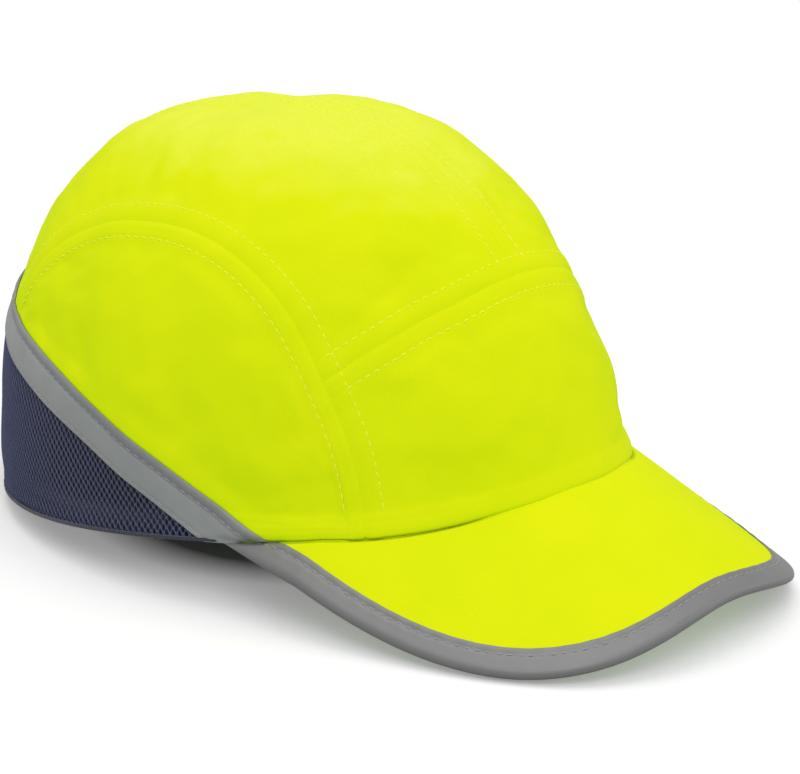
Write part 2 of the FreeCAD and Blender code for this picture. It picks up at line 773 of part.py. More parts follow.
def add_strap():
    """Strap in three stretches: sewn length, fold round the ring, and free tail."""
    base = arc_band("strap_base", RADIUS, WEBBING, "sizes.strap_left_end", "sizes.strap_fold_angle")
    finish(base, "strap_base", STRAP_PLACE)
    bend, place = fold("strap_fold", "strap_fold_angle")
    turned = Rotation(Vector(0, 0, 1), size("strap_fold_angle"))
    finish(bend, "strap_fold", STRAP_PLACE.multiply(Placement(place, turned)))
    tail = arc_band("strap_tail", OUTER_LAYER, WEBBING, "sizes.strap_tail_end", "sizes.strap_fold_angle")
    finish(tail, "strap_tail", STRAP_PLACE)


def add_patches():
    """Loop patch on the sewn length and hook patch on the tail, facing each other."""
    thickness, near_end = "sizes.patch_thickness", "sizes.patch_start"
    loop = arc_band("loop_patch", LOOP_RADIUS, thickness, "sizes.loop_patch_end", near_end)
    finish(loop, "loop_patch", STRAP_PLACE)
    hook = arc_band("hook_patch", HOOK_RADIUS, thickness, "sizes.strap_tail_end", near_end)
    finish(hook, "hook_patch", STRAP_PLACE)


def add_ring_tab():
    """Webbing tab sewn into the right side, with a loop at its end that holds the ring."""
    inner = arc_band("tab_inner_layer", RADIUS, WEBBING, "sizes.tab_fold_angle", "sizes.tab_inner_end")
    outer = arc_band("tab_outer_layer", OUTER_LAYER, WEBBING, "sizes.tab_fold_angle", "sizes.tab_outer_end")
    seam = arc_band("tab_seam", LOOP_RADIUS, FOLD_SPACE, "sizes.tab_seam_start", "sizes.tab_outer_end")
    bend, place = fold("tab_fold", "tab_fold_angle")
    bend.Placement = Placement(place, Rotation(Vector(0, 0, 1), size("tab_fold_angle") + 180.0))
    tab = doc.addObject("Part::MultiFuse", "ring_tab")
    tab.Shapes = [inner, outer, seam, bend]
    finish(tab, "ring_tab", STRAP_PLACE)


def centred_rectangle(sketch, prefix, width, height):
    """Rectangle centred on a sketch's origin: width and height as expressions."""
    half_width, half_height = size_of(width) / 2, size_of(height) / 2
    corners = [(-half_width, -half_height), (half_width, -half_height)]
    corners += [(half_width, half_height), (-half_width, half_height)]
    points = [Vector(x, y, 0) for x, y in corners]
    sides = []
    for start, end in zip(points, points[1:] + points[:1]):
        sides.append(sketch.addGeometry(Part.LineSegment(start, end)))
    for side, following in zip(sides, sides[1:] + sides[:1]):
        sketch.addConstraint(Sketcher.Constraint("Coincident", side, 2, following, 1))
    for side, direction in zip(sides, ("Horizontal", "Vertical") * 2):
        sketch.addConstraint(Sketcher.Constraint(direction, side))
    sketch.addConstraint(Sketcher.Constraint("Symmetric", sides[0], 1, sides[1], 2, -1, 1))
    add_named(sketch, prefix + "_width", width + " * 1 mm", "Distance", sides[0], 2 * half_width)
    add_named(sketch, prefix + "_height", height + " * 1 mm", "Distance", sides[1], 2 * half_height)


def add_ring():
    """Moulded ring that the strap and the tab are folded round."""
    body = doc.addObject("PartDesign::Body", "adjuster_ring")
    sketch = new_sketch(body, "ring_outline")
    wide = "(sizes.ring_window_width + sizes.ring_bar + sizes.ring_bar)"
    tall = "(sizes.ring_window_height + sizes.ring_bar + sizes.ring_bar)"
    centred_rectangle(sketch, "outside", wide, tall)
    centred_rectangle(sketch, "window", "(sizes.ring_window_width)", "(sizes.ring_window_height)")
    pad = body.newObject("PartDesign::Pad", "ring_pad")
    pad.Profile = sketch
    pad.Midplane = True
    bind(pad, "Length", "sizes.ring_bar * 1 mm")
    doc.recompute()
    rounding = body.newObject("PartDesign::Fillet", "ring_rounding")
    rounding.Base = (pad, ["Edge%d" % (i + 1) for i in range(len(pad.Shape.Edges))])
    bind(rounding, "Radius", "sizes.ring_rounding * 1 mm")
    body.Tip = rounding
    turn = size("ring_angle")
    reach = size_of(FOLD_MIDDLE)
    across = size("strap_width") / 2
    place = Vector(reach * math.cos(math.radians(turn)), reach * math.sin(math.radians(turn)), across)
    stand = Rotation(Vector(0, 0, 1), turn + 90.0).multiply(Rotation(Vector(1, 0, 0), 90.0))
    finish(body, "adjuster_ring", STRAP_PLACE.multiply(Placement(place, stand)))


# ---------------------------------------------------------------- the whole cap


def build_cloth():
    """Crown panels, tapes and bindings."""
    add_shape("front_panel", front_panel())
    add_pair("top_panel", top_panel())
    add_pair("side_panel", side_panel())
    add_pair("mesh_panel", mesh_panel())
    add_pair("reflective_tape", side_tape())
    add_shape("centre_seam_tape", centre_seam_tape())
    add_shape("front_seam_tape", front_seam_tape())
    add_pair("side_seam_tape", side_seam_tape())
    add_shape("arch_binding", arch_binding())
    add_shape("rim_binding", rim_binding())
    add_shape("sweatband", sweatband())
    add_shape("brow_foam", brow_foam())


def build_peak():
    """Board, covers and edge tape of the peak."""
    add_shape("peak_upper_cover", peak_upper_cover())
    add_shape("peak_board", peak_board())
    add_shape("peak_lower_cover", peak_lower_cover())
    add_shape("peak_edge_tape", peak_edge_tape())


def build_liner():
    """Moulded shell and the foam pads glued into it."""
    add_shell()
    low, high = size("crown_pad_low"), size("crown_pad_high")
    add_shape("crown_pad", crown_ring(PAD_OUTSIDE, PAD_INSIDE, low, high))
    add_shape("front_pad", wall_pad(-90.0, 35.0))
    add_shape("rear_pad", wall_pad(90.0, 30.0))
    add_pair("side_pad", wall_pad(0.0, 28.0))


def build_closure():
    """Strap, hook and loop patches, ring and ring tab at the back."""
    add_strap()
    add_patches()
    add_ring_tab()
    add_ring()


def check(document, parts):
    """Stops if an object failed, or if a sub-part has no valid solid."""
    for item in document.Objects:
        if "Invalid" in item.State or "Error" in item.State:
            raise RuntimeError("object %s failed: %s" % (item.Name, item.State))
    for part in parts:
        if part.Shape.isNull() or not part.Shape.isValid() or not part.Shape.Solids:
            raise RuntimeError("sub-part %s has no valid solid" % part.Label)


build_cloth()
build_peak()
build_liner()
build_closure()
doc.recompute()
check(doc, finished)
os.makedirs("parts", exist_ok=True)
for part in finished:
    part.Shape.exportStep("parts/%s.step" % part.Label)
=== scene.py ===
import math

import bpy
import numpy as np
from mathutils import Matrix, Vector


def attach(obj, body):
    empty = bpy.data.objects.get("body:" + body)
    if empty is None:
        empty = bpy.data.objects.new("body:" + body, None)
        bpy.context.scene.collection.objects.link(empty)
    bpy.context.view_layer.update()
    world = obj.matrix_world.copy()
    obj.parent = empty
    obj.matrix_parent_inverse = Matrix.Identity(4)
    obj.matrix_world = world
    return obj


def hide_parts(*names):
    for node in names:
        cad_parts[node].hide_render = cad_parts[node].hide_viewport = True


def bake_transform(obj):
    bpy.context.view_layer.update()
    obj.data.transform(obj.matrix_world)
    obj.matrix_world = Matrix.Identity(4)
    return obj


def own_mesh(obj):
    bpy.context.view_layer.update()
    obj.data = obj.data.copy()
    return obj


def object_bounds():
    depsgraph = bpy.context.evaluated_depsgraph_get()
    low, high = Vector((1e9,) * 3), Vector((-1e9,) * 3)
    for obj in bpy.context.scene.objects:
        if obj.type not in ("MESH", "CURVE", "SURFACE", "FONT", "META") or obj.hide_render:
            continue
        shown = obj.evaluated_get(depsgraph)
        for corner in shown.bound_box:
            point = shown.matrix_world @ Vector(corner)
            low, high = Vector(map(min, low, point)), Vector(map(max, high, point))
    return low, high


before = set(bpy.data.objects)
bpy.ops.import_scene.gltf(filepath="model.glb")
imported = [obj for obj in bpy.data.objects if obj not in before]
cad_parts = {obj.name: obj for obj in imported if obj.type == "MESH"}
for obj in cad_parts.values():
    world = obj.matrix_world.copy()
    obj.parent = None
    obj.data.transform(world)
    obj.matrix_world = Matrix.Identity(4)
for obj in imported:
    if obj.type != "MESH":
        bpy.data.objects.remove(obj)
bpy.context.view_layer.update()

# All shapes are worked out in millimetres in the cap's own frame: the rim lies in z = 0, the
# peak points to -Y, the wearer's left is +X. to_world() tips the cap as it rests and turns
# millimetres into metres.

MM = 0.001
REST_TILT = math.radians(8.1)
HALF_WIDTH, FRONT_LENGTH, BACK_LENGTH, CROWN_HEIGHT = 87.0, 115.0, 98.0, 120.0
CROWN_LEAN = -11.0
SIDE_POWER, FRONT_POWER, BACK_POWER = 2.25, 1.9, 3.0
CLOTH = 1.0
SIDE_SEAM = 61.5
FRONT_SEAM_HEIGHT, FRONT_SEAM_DROP, FRONT_SEAM_REACH = 69.0, 17.0, 55.0
TAPE_START, TAPE_START_HEIGHT, TAPE_RISE, TAPE_FLATTENING = -34.0, 10.0, 0.66, 0.0019
TAPE_WIDTH, TAPE_THICKNESS = 12.4, 0.4
ROW_DISTANCE = 5.7
STITCH_PITCH, STITCH_LENGTH, THREAD_RADIUS = 3.1, 2.35, 0.2
ARCH_HALF_WIDTH, ARCH_HEIGHT, ARCH_POWER = 42.0, 48.0, 3.0
PEAK_HALF_WIDTH, PEAK_BACK, PEAK_REACH, PEAK_POWER = 81.4, 36.8, 165.5, 2.87
PEAK_JOIN_HEIGHT, PEAK_SLOPE, PEAK_CURL = 7.9, 0.558, 0.01197
PEAK_FLAT_RUN, PEAK_EASED_SHARE = 44.4, 0.75
PEAK_COVER, PEAK_THICKNESS = 0.6, 3.0


# --- small maths


def smooth_step(low, high, value):
    """0 below low, 1 above high, smooth between."""
    t = np.clip((value - low) / (high - low), 0, 1)
    return t * t * (3 - 2 * t)


def quarter_round(value):
    """Quarter circle that climbs from 0 at value 0 to 1 at value 1."""
    return np.sqrt(1 - (1 - np.clip(value, 0, 1)) ** 2)


def bump(value, width):
    """Bell of height 1 at value 0."""
    return np.exp(-((value / width) ** 2))


def solve(function, low, high):
    """Root between low and high of a function of arrays that changes sign once."""
    low, high = np.broadcast_arrays(np.asarray(low, float), np.asarray(high, float))
    low, high = low.copy(), high.copy()
    low_sign = function(low) < 0
    for _ in range(36):
        middle = (low + high) / 2
        same = (function(middle) < 0) == low_sign
        low = np.where(same, middle, low)
        high = np.where(same, high, middle)
    return (low + high) / 2


def unit(vectors):
    """Vectors of length 1 with the same directions."""
    return vectors / np.maximum(np.linalg.norm(vectors, axis=-1, keepdims=True), 1e-9)


def to_world(points):
    """Cap frame in millimetres to the row frame in metres."""
    x, y, z = np.moveaxis(np.asarray(points, float), -1, 0)
    c, s = math.cos(REST_TILT), math.sin(REST_TILT)
    return np.stack([x, y * c + z * s, z * c - y * s], -1) * MM


WAVES = np.random.default_rng(7)
WAVE_AXES = unit(WAVES.normal(size=(40, 3)))
WAVE_LENGTHS = np.geomspace(16.0, 90.0, 40)
WAVE_STARTS = WAVES.uniform(0, 2 * math.pi, 40)


def drift(points, shortest, longest):
    """Smooth random field near +-1 over points, made of waves between two lengths."""
    chosen = (WAVE_LENGTHS >= shortest) & (WAVE_LENGTHS <= longest)
    phase = points @ (WAVE_AXES[chosen] * (2 * math.pi / WAVE_LENGTHS[chosen])[:, None]).T
    return np.sin(phase + WAVE_STARTS[chosen]).sum(-1) / math.sqrt(chosen.sum())


# --- crown surface


FLATS = (
    ((0.40, 0.65, 0.65), 0.022, 0.030),
    ((0.00, 0.05, 1.00), 0.014, 0.070),
    ((0.54, -0.70, 0.47), 0.018, 0.025),
)


def flattened(directions):
    """Share by which the cloth stays inside the full dome where it is pulled flat."""
    directions = unit(directions)
    directions = np.concatenate([np.abs(directions[..., :1]), directions[..., 1:]], -1)
    total = 0.0
    for middle, share, width in FLATS:
        total = total + share * bump(1 - directions @ unit(np.array(middle)), width)
    return total


def crown(directions, offset=0.0):
    """Points of the crown, moved inwards by offset, for directions of the unit crown."""
    directions = np.asarray(directions, float)
    across, along, up = np.moveaxis(directions, -1, 0)
    flat = np.hypot(across, along)
    share = (along / np.maximum(flat, 1e-9)) ** 2
    end_power = np.where(along < 0, FRONT_POWER, BACK_POWER)
    power = SIDE_POWER * (1 - share) + end_power * share
    reach = (np.maximum(flat, 1e-9) ** power + np.abs(up) ** power) ** (-1 / power)
    reach = reach * (1 - flattened(directions))
    length = np.where(along < 0, FRONT_LENGTH, BACK_LENGTH) - offset
    height = (CROWN_HEIGHT - offset) * reach * up
    lean = CROWN_LEAN * (height / CROWN_HEIGHT) ** 2
    return np.stack([(HALF_WIDTH - offset) * reach * across, length * reach * along + lean, height], -1)


def to_direction(points):
    """Direction of the unit crown that leads to a point near the crown."""
    x, y, z = np.moveaxis(points, -1, 0)
    along = y - CROWN_LEAN * (z / CROWN_HEIGHT) ** 2
    length = np.where(along < 0, FRONT_LENGTH, BACK_LENGTH)
    return np.stack([x / HALF_WIDTH, along / length, z / CROWN_HEIGHT], -1)


def crown_normal(directions, offset=0.0):
    """Outward unit normals of the crown."""
    directions = unit(directions)
    helper = np.where(np.abs(directions[..., :1]) < 0.7, [1.0, 0.0, 0.0], [0.0, 1.0, 0.0])
    first = unit(np.cross(directions, helper))
    second = np.cross(directions, first)
    step = 1e-3
    run_first = crown(directions + step * first, offset) - crown(directions - step * first, offset)
    run_second = crown(directions + step * second, offset) - crown(directions - step * second, offset)
    normal = unit(np.cross(run_first, run_second))
    outward = np.sign((normal * directions).sum(-1, keepdims=True))
    return normal * outward


LOWEST, HIGHEST = -60.0, 80.0  # elevations between which every line on the crown lies


def compass(azimuth, elevation):
    """Directions from azimuths (from +X towards +Y) and elevations, in degrees."""
    azimuth, elevation = np.radians(azimuth), np.radians(elevation)
    flat = np.cos(elevation)
    return np.stack([flat * np.cos(azimuth), flat * np.sin(azimuth), np.sin(elevation) + 0 * azimuth], -1)


def slice_direction(distance, turn):
    """Directions of the crown points at x = distance, turned from +Y over the top by turn."""
    turn = np.radians(turn)
    distance, turn = np.broadcast_arrays(np.asarray(distance, float), turn)
    along, up = np.cos(turn), np.sin(turn)

    def error(across):
        return crown(np.stack([across, along, up], -1))[..., 0] - distance

    return np.stack([solve(error, -30.0 + 0 * along, 30.0), along, up], -1)


def height_direction(azimuth, height):
    """Directions of the crown points at azimuths and heights."""
    azimuth, height = np.broadcast_arrays(np.asarray(azimuth, float), np.asarray(height, float))

    def error(elevation):
        return crown(compass(azimuth, elevation))[..., 2] - height

    return compass(azimuth, solve(error, LOWEST + 0 * azimuth, HIGHEST))


# --- seam lines


def tape_height(along):
    """Height of the middle of the side tape at y = along."""
    past = along - TAPE_START
    return TAPE_START_HEIGHT + TAPE_RISE * past - TAPE_FLATTENING * past**2


def peak_top(x, y):
    """Height of the peak's upper side."""
    run = -y - FRONT_LENGTH
    behind = np.maximum(-PEAK_FLAT_RUN - run, 0)
    eased = run + (1 - PEAK_EASED_SHARE) * behind
    return PEAK_JOIN_HEIGHT - PEAK_SLOPE * eased - PEAK_CURL * x**2 / 2


# Each line on the crown is the zero of a field; these functions give the field and its gradient.


def tape_line(points):
    """Middle of the side tape, positive above it."""
    y, z = points[..., 1], points[..., 2]
    slope = TAPE_RISE - 2 * TAPE_FLATTENING * (y - TAPE_START)
    return z - tape_height(y), np.stack([0 * y, -slope, 0 * y + 1], -1)


def side_seam(points):
    """Side seams, positive outside them."""
    x = points[..., 0]
    return np.abs(x) - SIDE_SEAM, np.stack([np.sign(x), 0 * x, 0 * x], -1)


def centre_seam(points):
    """Seam along the middle."""
    x = points[..., 0]
    return x, np.stack([0 * x + 1, 0 * x, 0 * x], -1)


def front_seam(points):
    """Cross seam over the forehead, positive above it."""
    x, z = points[..., 0], points[..., 2]
    fall = FRONT_SEAM_DROP / FRONT_SEAM_REACH**2
    return z - FRONT_SEAM_HEIGHT + fall * x**2, np.stack([2 * fall * x, 0 * x, 0 * x + 1], -1)


def crease(points):
    """Line where the peak leaves the crown, positive above it."""
    x, y, z = np.moveaxis(points, -1, 0)
    gradient = np.stack([PEAK_CURL * x, 0 * x - PEAK_SLOPE, 0 * x + 1], -1)
    return z - peak_top(x, y), gradient


def arch_edge(points):
    """Edge of the rear opening, positive outside it."""
    x, z = points[..., 0], np.maximum(points[..., 2], 0.01)
    wide, tall = np.abs(x) / ARCH_HALF_WIDTH, z / ARCH_HEIGHT
    size = np.maximum((wide**ARCH_POWER + tall**ARCH_POWER) ** (1 / ARCH_POWER), 0.05)
    share = size ** (1 - ARCH_POWER)
    across = np.sign(x) * share * wide ** (ARCH_POWER - 1) / ARCH_HALF_WIDTH
    upward = share * tall ** (ARCH_POWER - 1) / ARCH_HEIGHT
    return size - 1, np.stack([across, 0 * x, upward], -1)


def distance_from(line, points, normals):
    """Distance along the crown from a line, and the direction in which it grows."""
    value, gradient = line(points)
    along = gradient - normals * (gradient * normals).sum(-1, keepdims=True)
    slope = np.maximum(np.linalg.norm(along, axis=-1), 1e-4)
    return value / slope, along / slope[..., None]


def move_to(line, directions, target):
    """Directions moved over the crown until their distance from a line is the target."""
    for _ in range(8):
        points, normals = crown(directions), crown_normal(directions)
        distance, way = distance_from(line, points, normals)
        directions = to_direction(points + way * (target - distance)[..., None])
    return directions


# --- cloth relief


SEAM_VALLEY, SEAM_RIDGE, SEAM_GROOVE = 0.34, 0.27, 0.26
GATHER_HEIGHT, GATHER_REACH = 0.10, 9.0
SLOW_WAVES, FINE_WAVES = 0.42, 0.12
HEM_BULGE, HEM_ROW = 1.25, 2.6
HEM_FADE = (-46.0, -38.0)


def rim_rise(along):
    """Height of the visible rim above the rim plane at y = along."""
    return 0.4 + 1.0 * (1 - smooth_step(-45.0, 50.0, along))


def stitched_seam(distance):
    """Height of cloth beside a seam that is pressed open and topstitched on both sides."""
    valley = -SEAM_VALLEY * bump(distance, 1.0)
    past_row = np.abs(distance) - ROW_DISTANCE
    allowance = SEAM_RIDGE * (1 - smooth_step(-0.1, 1.9, past_row))
    groove = -SEAM_GROOVE * bump(past_row, 0.65)
    return valley + allowance + groove


def gathers(points, distance, wavelength):
    """Small gathers across a seam, fading away from it."""
    path = points[..., 1] * 0.8 + points[..., 2] * 0.6
    wave = np.sin(2 * math.pi * path / wavelength + 2.0 * drift(points, 20.0, 60.0))
    return GATHER_HEIGHT * wave * bump(distance, GATHER_REACH)


def hem(points, normals):
    """Rolled lower edge of the crown: over the peak in front, round the rim behind."""
    y, z = points[..., 1], points[..., 2]
    over = distance_from(crease, points, normals)[0]
    in_front = 1 - smooth_step(*HEM_FADE, y)
    fold = smooth_step(-3.2, -1.6, over) - smooth_step(1.2, 6.5, over)
    over_peak = HEM_BULGE * fold + 0.25 * bump(over + 0.2, 0.9) - 0.2 * bump(over - HEM_ROW, 0.7)
    at_rim = 0.35 * bump(z - 3.0, 1.6)
    return in_front * over_peak + (1 - in_front) * at_rim


def relief(points, normals):
    """Outward displacement of the crown cloth from its plain surface."""
    y, z = points[..., 1], points[..., 2]
    above_tape = smooth_step(3.0, 7.0, distance_from(tape_line, points, normals)[0])
    side = distance_from(side_seam, points, normals)[0]
    centre = distance_from(centre_seam, points, normals)[0]
    front = distance_from(front_seam, points, normals)[0]
    in_front = smooth_step(10.0, -10.0, y)
    behind_front_seam = 1 - in_front * smooth_step(1.0, -1.0, front)
    between_sides = smooth_step(0.5, -0.5, side)
    total = stitched_seam(side) * above_tape
    total += stitched_seam(centre) * above_tape * behind_front_seam * between_sides
    total += stitched_seam(front) * in_front * between_sides
    total += gathers(points, side, 11.0) * above_tape
    total += gathers(points, front, 9.0) * in_front * between_sides
    total += SLOW_WAVES * drift(points, 30.0, 90.0) * smooth_step(0.0, 14.0, z)
    total += FINE_WAVES * drift(points, 16.0, 30.0)
    return total + hem(points, normals)


def cloth_point(directions, depth=0.0):
    """Point of the crown cloth at a depth below its outside, and the outward normal."""
    points, normals = crown(directions), crown_normal(directions)
    lift = relief(points, normals)
    lift = np.where(depth > 0.5, np.maximum(lift, -0.1), lift)
    return points + normals * (lift - depth)[..., None], normals


# --- mesh builders


def grid_faces(index):
    """Quads of a grid of vertex numbers."""
    corners = [index[:-1, :-1], index[1:, :-1], index[1:, 1:], index[:-1, 1:]]
    return np.stack(corners, -1).reshape(-1, 4)


def add_object(name, data):
    """New object in the scene for a mesh, a light or a camera."""
    item = bpy.data.objects.new(name, data)
    bpy.context.scene.collection.objects.link(item)
    return item


def facing_out(points, faces):
    """Faces of a closed piece, all turned round if they enclose a negative volume."""
    volume = 0.0
    for group in faces:
        corners = points[group]
        for second in range(1, group.shape[1] - 1):
            volume += (corners[:, 0] * np.cross(corners[:, second], corners[:, second + 1])).sum()
    return faces if volume > 0 else [group[:, ::-1] for group in faces]


def mesh_piece(name, points, faces, coords, sharp=50.0):
    """Object from cap-frame points, arrays of faces, and cloth coordinates in millimetres."""
    mesh = bpy.data.meshes.new(name)
    corners = np.concatenate([group.ravel() for group in faces]).astype(np.int32)
    counts = np.concatenate([np.full(len(group), group.shape[1]) for group in faces])
    mesh.vertices.add(len(points))
    mesh.vertices.foreach_set("co", to_world(points).astype(np.float32).ravel())
    mesh.loops.add(len(corners))
    mesh.loops.foreach_set("vertex_index", corners)
    mesh.polygons.add(len(counts))
    starts = np.cumsum(counts) - counts
    mesh.polygons.foreach_set("loop_start", starts.astype(np.int32))
    mesh.update(calc_edges=True)
    layer = mesh.uv_layers.new(name="cloth")
    layer.data.foreach_set("uv", coords[corners].astype(np.float32).ravel())
    mesh.shade_smooth()
    mesh.set_sharp_from_angle(angle=math.radians(sharp))
    return add_object(name, mesh)


def path_lengths(points, axis):
    """Running length along one axis of a grid of points, zero in the middle."""
    steps = np.linalg.norm(np.diff(points, axis=axis), axis=-1)
    lengths = np.concatenate([0 * np.take(steps, [0], axis), np.cumsum(steps, axis)], axis)
    middle = np.take(lengths, [lengths.shape[axis] // 2], axis)
    return lengths - middle


def grid_coords(points):
    """Cloth coordinates of a grid of points, as one list."""
    return np.stack([path_lengths(points, 0), path_lengths(points, 1)], -1).reshape(-1, 2)


def sheet(name, outer, inner, wrap=False):
    """Closed piece between two grids of points; wrap joins the last row to the first."""
    rows, columns = outer.shape[:2]
    index = np.arange(rows * columns).reshape(rows, columns)
    walk = np.vstack([index, index[:1]]) if wrap else index
    below = rows * columns
    faces = [grid_faces(walk), grid_faces(walk)[:, ::-1] + below]
    borders = [walk[:, 0], walk[::-1, -1]]
    if not wrap:
        borders += [index[-1, :], index[0, ::-1]]
    for border in borders:
        ahead, behind = border[1:], border[:-1]
        faces.append(np.stack([ahead, behind, behind + below, ahead + below], -1))
    points = np.concatenate([outer.reshape(-1, 3), inner.reshape(-1, 3)])
    coords = np.tile(grid_coords(outer), (2, 1))
    return mesh_piece(name, points, facing_out(points, faces), coords)


def sweep(name, loops):
    """Piece whose cross-section follows closed loops of points, capped at both ends."""
    rows, columns = loops.shape[:2]
    index = np.arange(rows * columns).reshape(rows, columns)
    faces = [grid_faces(np.hstack([index, index[:, :1]])), index[:1], index[-1:, ::-1]]
    points = loops.reshape(-1, 3)
    return mesh_piece(name, points, facing_out(points, faces), grid_coords(loops))


def ring_walls(index):
    """Quads between the rings of many tubes, from numbers by tube, ring and place on the ring."""
    closed = np.concatenate([index, index[..., :1]], -1)
    corners = [closed[:, :-1, :-1], closed[:, :-1, 1:], closed[:, 1:, 1:], closed[:, 1:, :-1]]
    return np.stack(corners, -1).reshape(-1, 4)


def tubes(name, centre, first, second, girth, sides):
    """One object of closed tubes; their rings turn from the first direction to the second."""
    angles = np.arange(sides) * 2 * math.pi / sides
    ring = first[:, :, None] * np.cos(angles)[:, None] + second[:, :, None] * np.sin(angles)[:, None]
    tube = centre[:, :, None] + ring * girth
    index = np.arange(tube[..., 0].size).reshape(tube.shape[:3])
    caps = np.concatenate([index[:, 0, ::-1], index[:, -1]])
    points = tube.reshape(-1, 3)
    faces = facing_out(points, [ring_walls(index), caps])
    return mesh_piece(name, points, faces, points[:, :2], THREAD_SHARP)


def spread(start, end, count):
    """Grid of values from start to end, which may be arrays."""
    share = np.linspace(0, 1, count)
    start, end = np.broadcast_arrays(np.asarray(start, float), np.asarray(end, float))
    return start[..., None] * (1 - share) + end[..., None] * share


# --- stitches

STITCH_SHARE = np.linspace(0, 1, 6)
STITCH_ARCH = np.sin(math.pi * STITCH_SHARE)
THREAD_SHARP = 75.0


def stitch_lines(points, normals):
    """Middle lines of a row of machine stitches along a path on cloth, with side and up."""
    steps = np.linalg.norm(np.diff(points, axis=0), axis=-1)
    lengths = np.concatenate([[0], np.cumsum(steps)])
    starts = np.arange(STITCH_PITCH, lengths[-1] - STITCH_PITCH, STITCH_PITCH)
    places = starts[:, None] + STITCH_LENGTH * STITCH_SHARE
    centre = np.stack([np.interp(places, lengths, points[:, k]) for k in range(3)], -1)
    up = unit(np.stack([np.interp(places, lengths, normals[:, k]) for k in range(3)], -1))
    aside = np.cross(unit(np.gradient(centre, axis=1)), up)
    lift = THREAD_RADIUS * (1.9 * STITCH_ARCH**0.6 - 1.3)
    return centre + up * lift[None, :, None], aside, up


def stitches(name, rows):
    """One object for several stitch rows, each a pair of path points and normals."""
    lines = [stitch_lines(path, normals) for path, normals in rows]
    centre, aside, up = (np.concatenate(group) for group in zip(*lines))
    girth = THREAD_RADIUS * (0.55 + 0.45 * STITCH_ARCH**0.5)
    return tubes(name, centre, aside, up, girth[None, :, None, None], 6)


# --- cloth simulation

SIM_SCALE = 10.0
SIM_STEP = 4.5
SIM_FRAMES = 24
SIM_GROWTH = 0.016
SEWN_BORDER = 6.0


def border_distance(points, axes=(0, 1)):
    """Distance of each point of a grid from the grid's border, along one or both axes."""
    distances = []
    for axis in axes:
        run = path_lengths(points, axis)
        start, end = np.take(run, [0], axis), np.take(run, [-1], axis)
        distances += [run - start, end - run]
    return np.minimum.reduce(distances)


def resize(field, rows, columns):
    """Field on a coarse grid carried over to a finer one and smoothed."""
    for axis, count in ((0, rows), (1, columns)):
        old = field.shape[axis]
        places = np.linspace(0, old - 1, count)
        known = np.arange(old)
        field = np.apply_along_axis(lambda line: np.interp(places, known, line), axis, field)
        width = max(count // old, 1)
        margin = [(0, 0), (0, 0)]
        margin[axis] = (width, width)
        for _ in range(2):
            padded = np.pad(field, margin, mode="edge")
            sums = np.cumsum(padded, axis)
            first = np.take(sums, np.arange(0, count), axis)
            last = np.take(sums, np.arange(width, width + count), axis)
            field = (last - first) / width
    return field


def simulate(points, pinned):
    """Cloth that is slightly larger than its pinned border, after it has buckled."""
    rows, columns = points.shape[:2]
    index = np.arange(rows * columns).reshape(rows, columns)
    mesh = bpy.data.meshes.new("slack")
    flat = (points * MM * SIM_SCALE).reshape(-1, 3)
    mesh.from_pydata(flat.tolist(), [], grid_faces(index).tolist())
    cloth = add_object("slack", mesh)
    group = cloth.vertex_groups.new(name="sewn")
    group.add([int(i) for i in index[pinned]], 1.0, "REPLACE")
    modifier = cloth.modifiers.new("slack", "CLOTH")
    settings = modifier.settings
    settings.quality = 7
    settings.mass = 0.2
    settings.tension_stiffness = settings.compression_stiffness = 20.0
    settings.shear_stiffness = 8.0
    settings.bending_stiffness = 0.6
    settings.air_damping = 2.0
    settings.vertex_group_mass = "sewn"
    settings.shrink_min = -SIM_GROWTH
    settings.effector_weights.gravity = 0.0
    modifier.point_cache.frame_end = SIM_FRAMES
    scene = bpy.context.scene
    for frame_number in range(1, SIM_FRAMES + 1):
        scene.frame_set(frame_number)
    result = cloth.evaluated_get(bpy.context.evaluated_depsgraph_get())
    moved = np.empty(rows * columns * 3, np.float32)
    result.data.vertices.foreach_get("co", moved)
    bpy.data.objects.remove(cloth)
    bpy.data.meshes.remove(mesh)
    scene.frame_set(1)
    return moved.reshape(rows, columns, 3) / (MM * SIM_SCALE)


def relaxed(points, normals, seed):
    """Outward movement of slack cloth over a fine grid of points, in millimetres."""
    rows, columns = points.shape[:2]
    sizes = [np.ptp(path_lengths(points, axis), axis=axis).max() for axis in (0, 1)]
    counts = [max(int(size / SIM_STEP), 6) for size in sizes]
    lines = [np.linspace(0, n - 1, count).astype(int) for n, count in zip((rows, columns), counts)]
    chosen = np.ix_(*lines)
    coarse, coarse_normals = points[chosen], normals[chosen]
    pinned = border_distance(coarse) < SEWN_BORDER
    pinned[[0, -1], :] = True
    pinned[:, [0, -1]] = True
    chance = np.random.default_rng(seed)
    start = chance.normal(0, 0.25, coarse.shape[:2]) * ~pinned
    start += 0.3 * drift(coarse + 50.0 * seed, 16.0, 45.0) * ~pinned
    moved = simulate(coarse + coarse_normals * start[..., None], pinned)
    lift = ((moved - coarse) * coarse_normals).sum(-1)
    lift -= lift[~pinned].mean() if (~pinned).any() else 0
    return resize(np.clip(lift * ~pinned, -2.0, 2.0), rows, columns)


# --- crown panels

SIDES = ((1, "left"), (-1, "right"))
GRID_STEP = 0.9
LOOSE_BORDER = (5.6, 13.0)
SLACK_SHARE, SLACK_LIMIT = 0.8, 0.9


def count_for(length):
    """Number of grid lines for a length in millimetres."""
    return max(int(length / GRID_STEP), 3)


def front_turn(distance, shift=0.0):
    """Turn at which the cross seam, moved up by shift, crosses the slice x = distance."""
    height = FRONT_SEAM_HEIGHT - FRONT_SEAM_DROP * (distance / FRONT_SEAM_REACH) ** 2 + shift

    def error(turn):
        return crown(slice_direction(distance, turn))[..., 2] - height

    return solve(error, 180.0 + 0 * distance, 91.0)


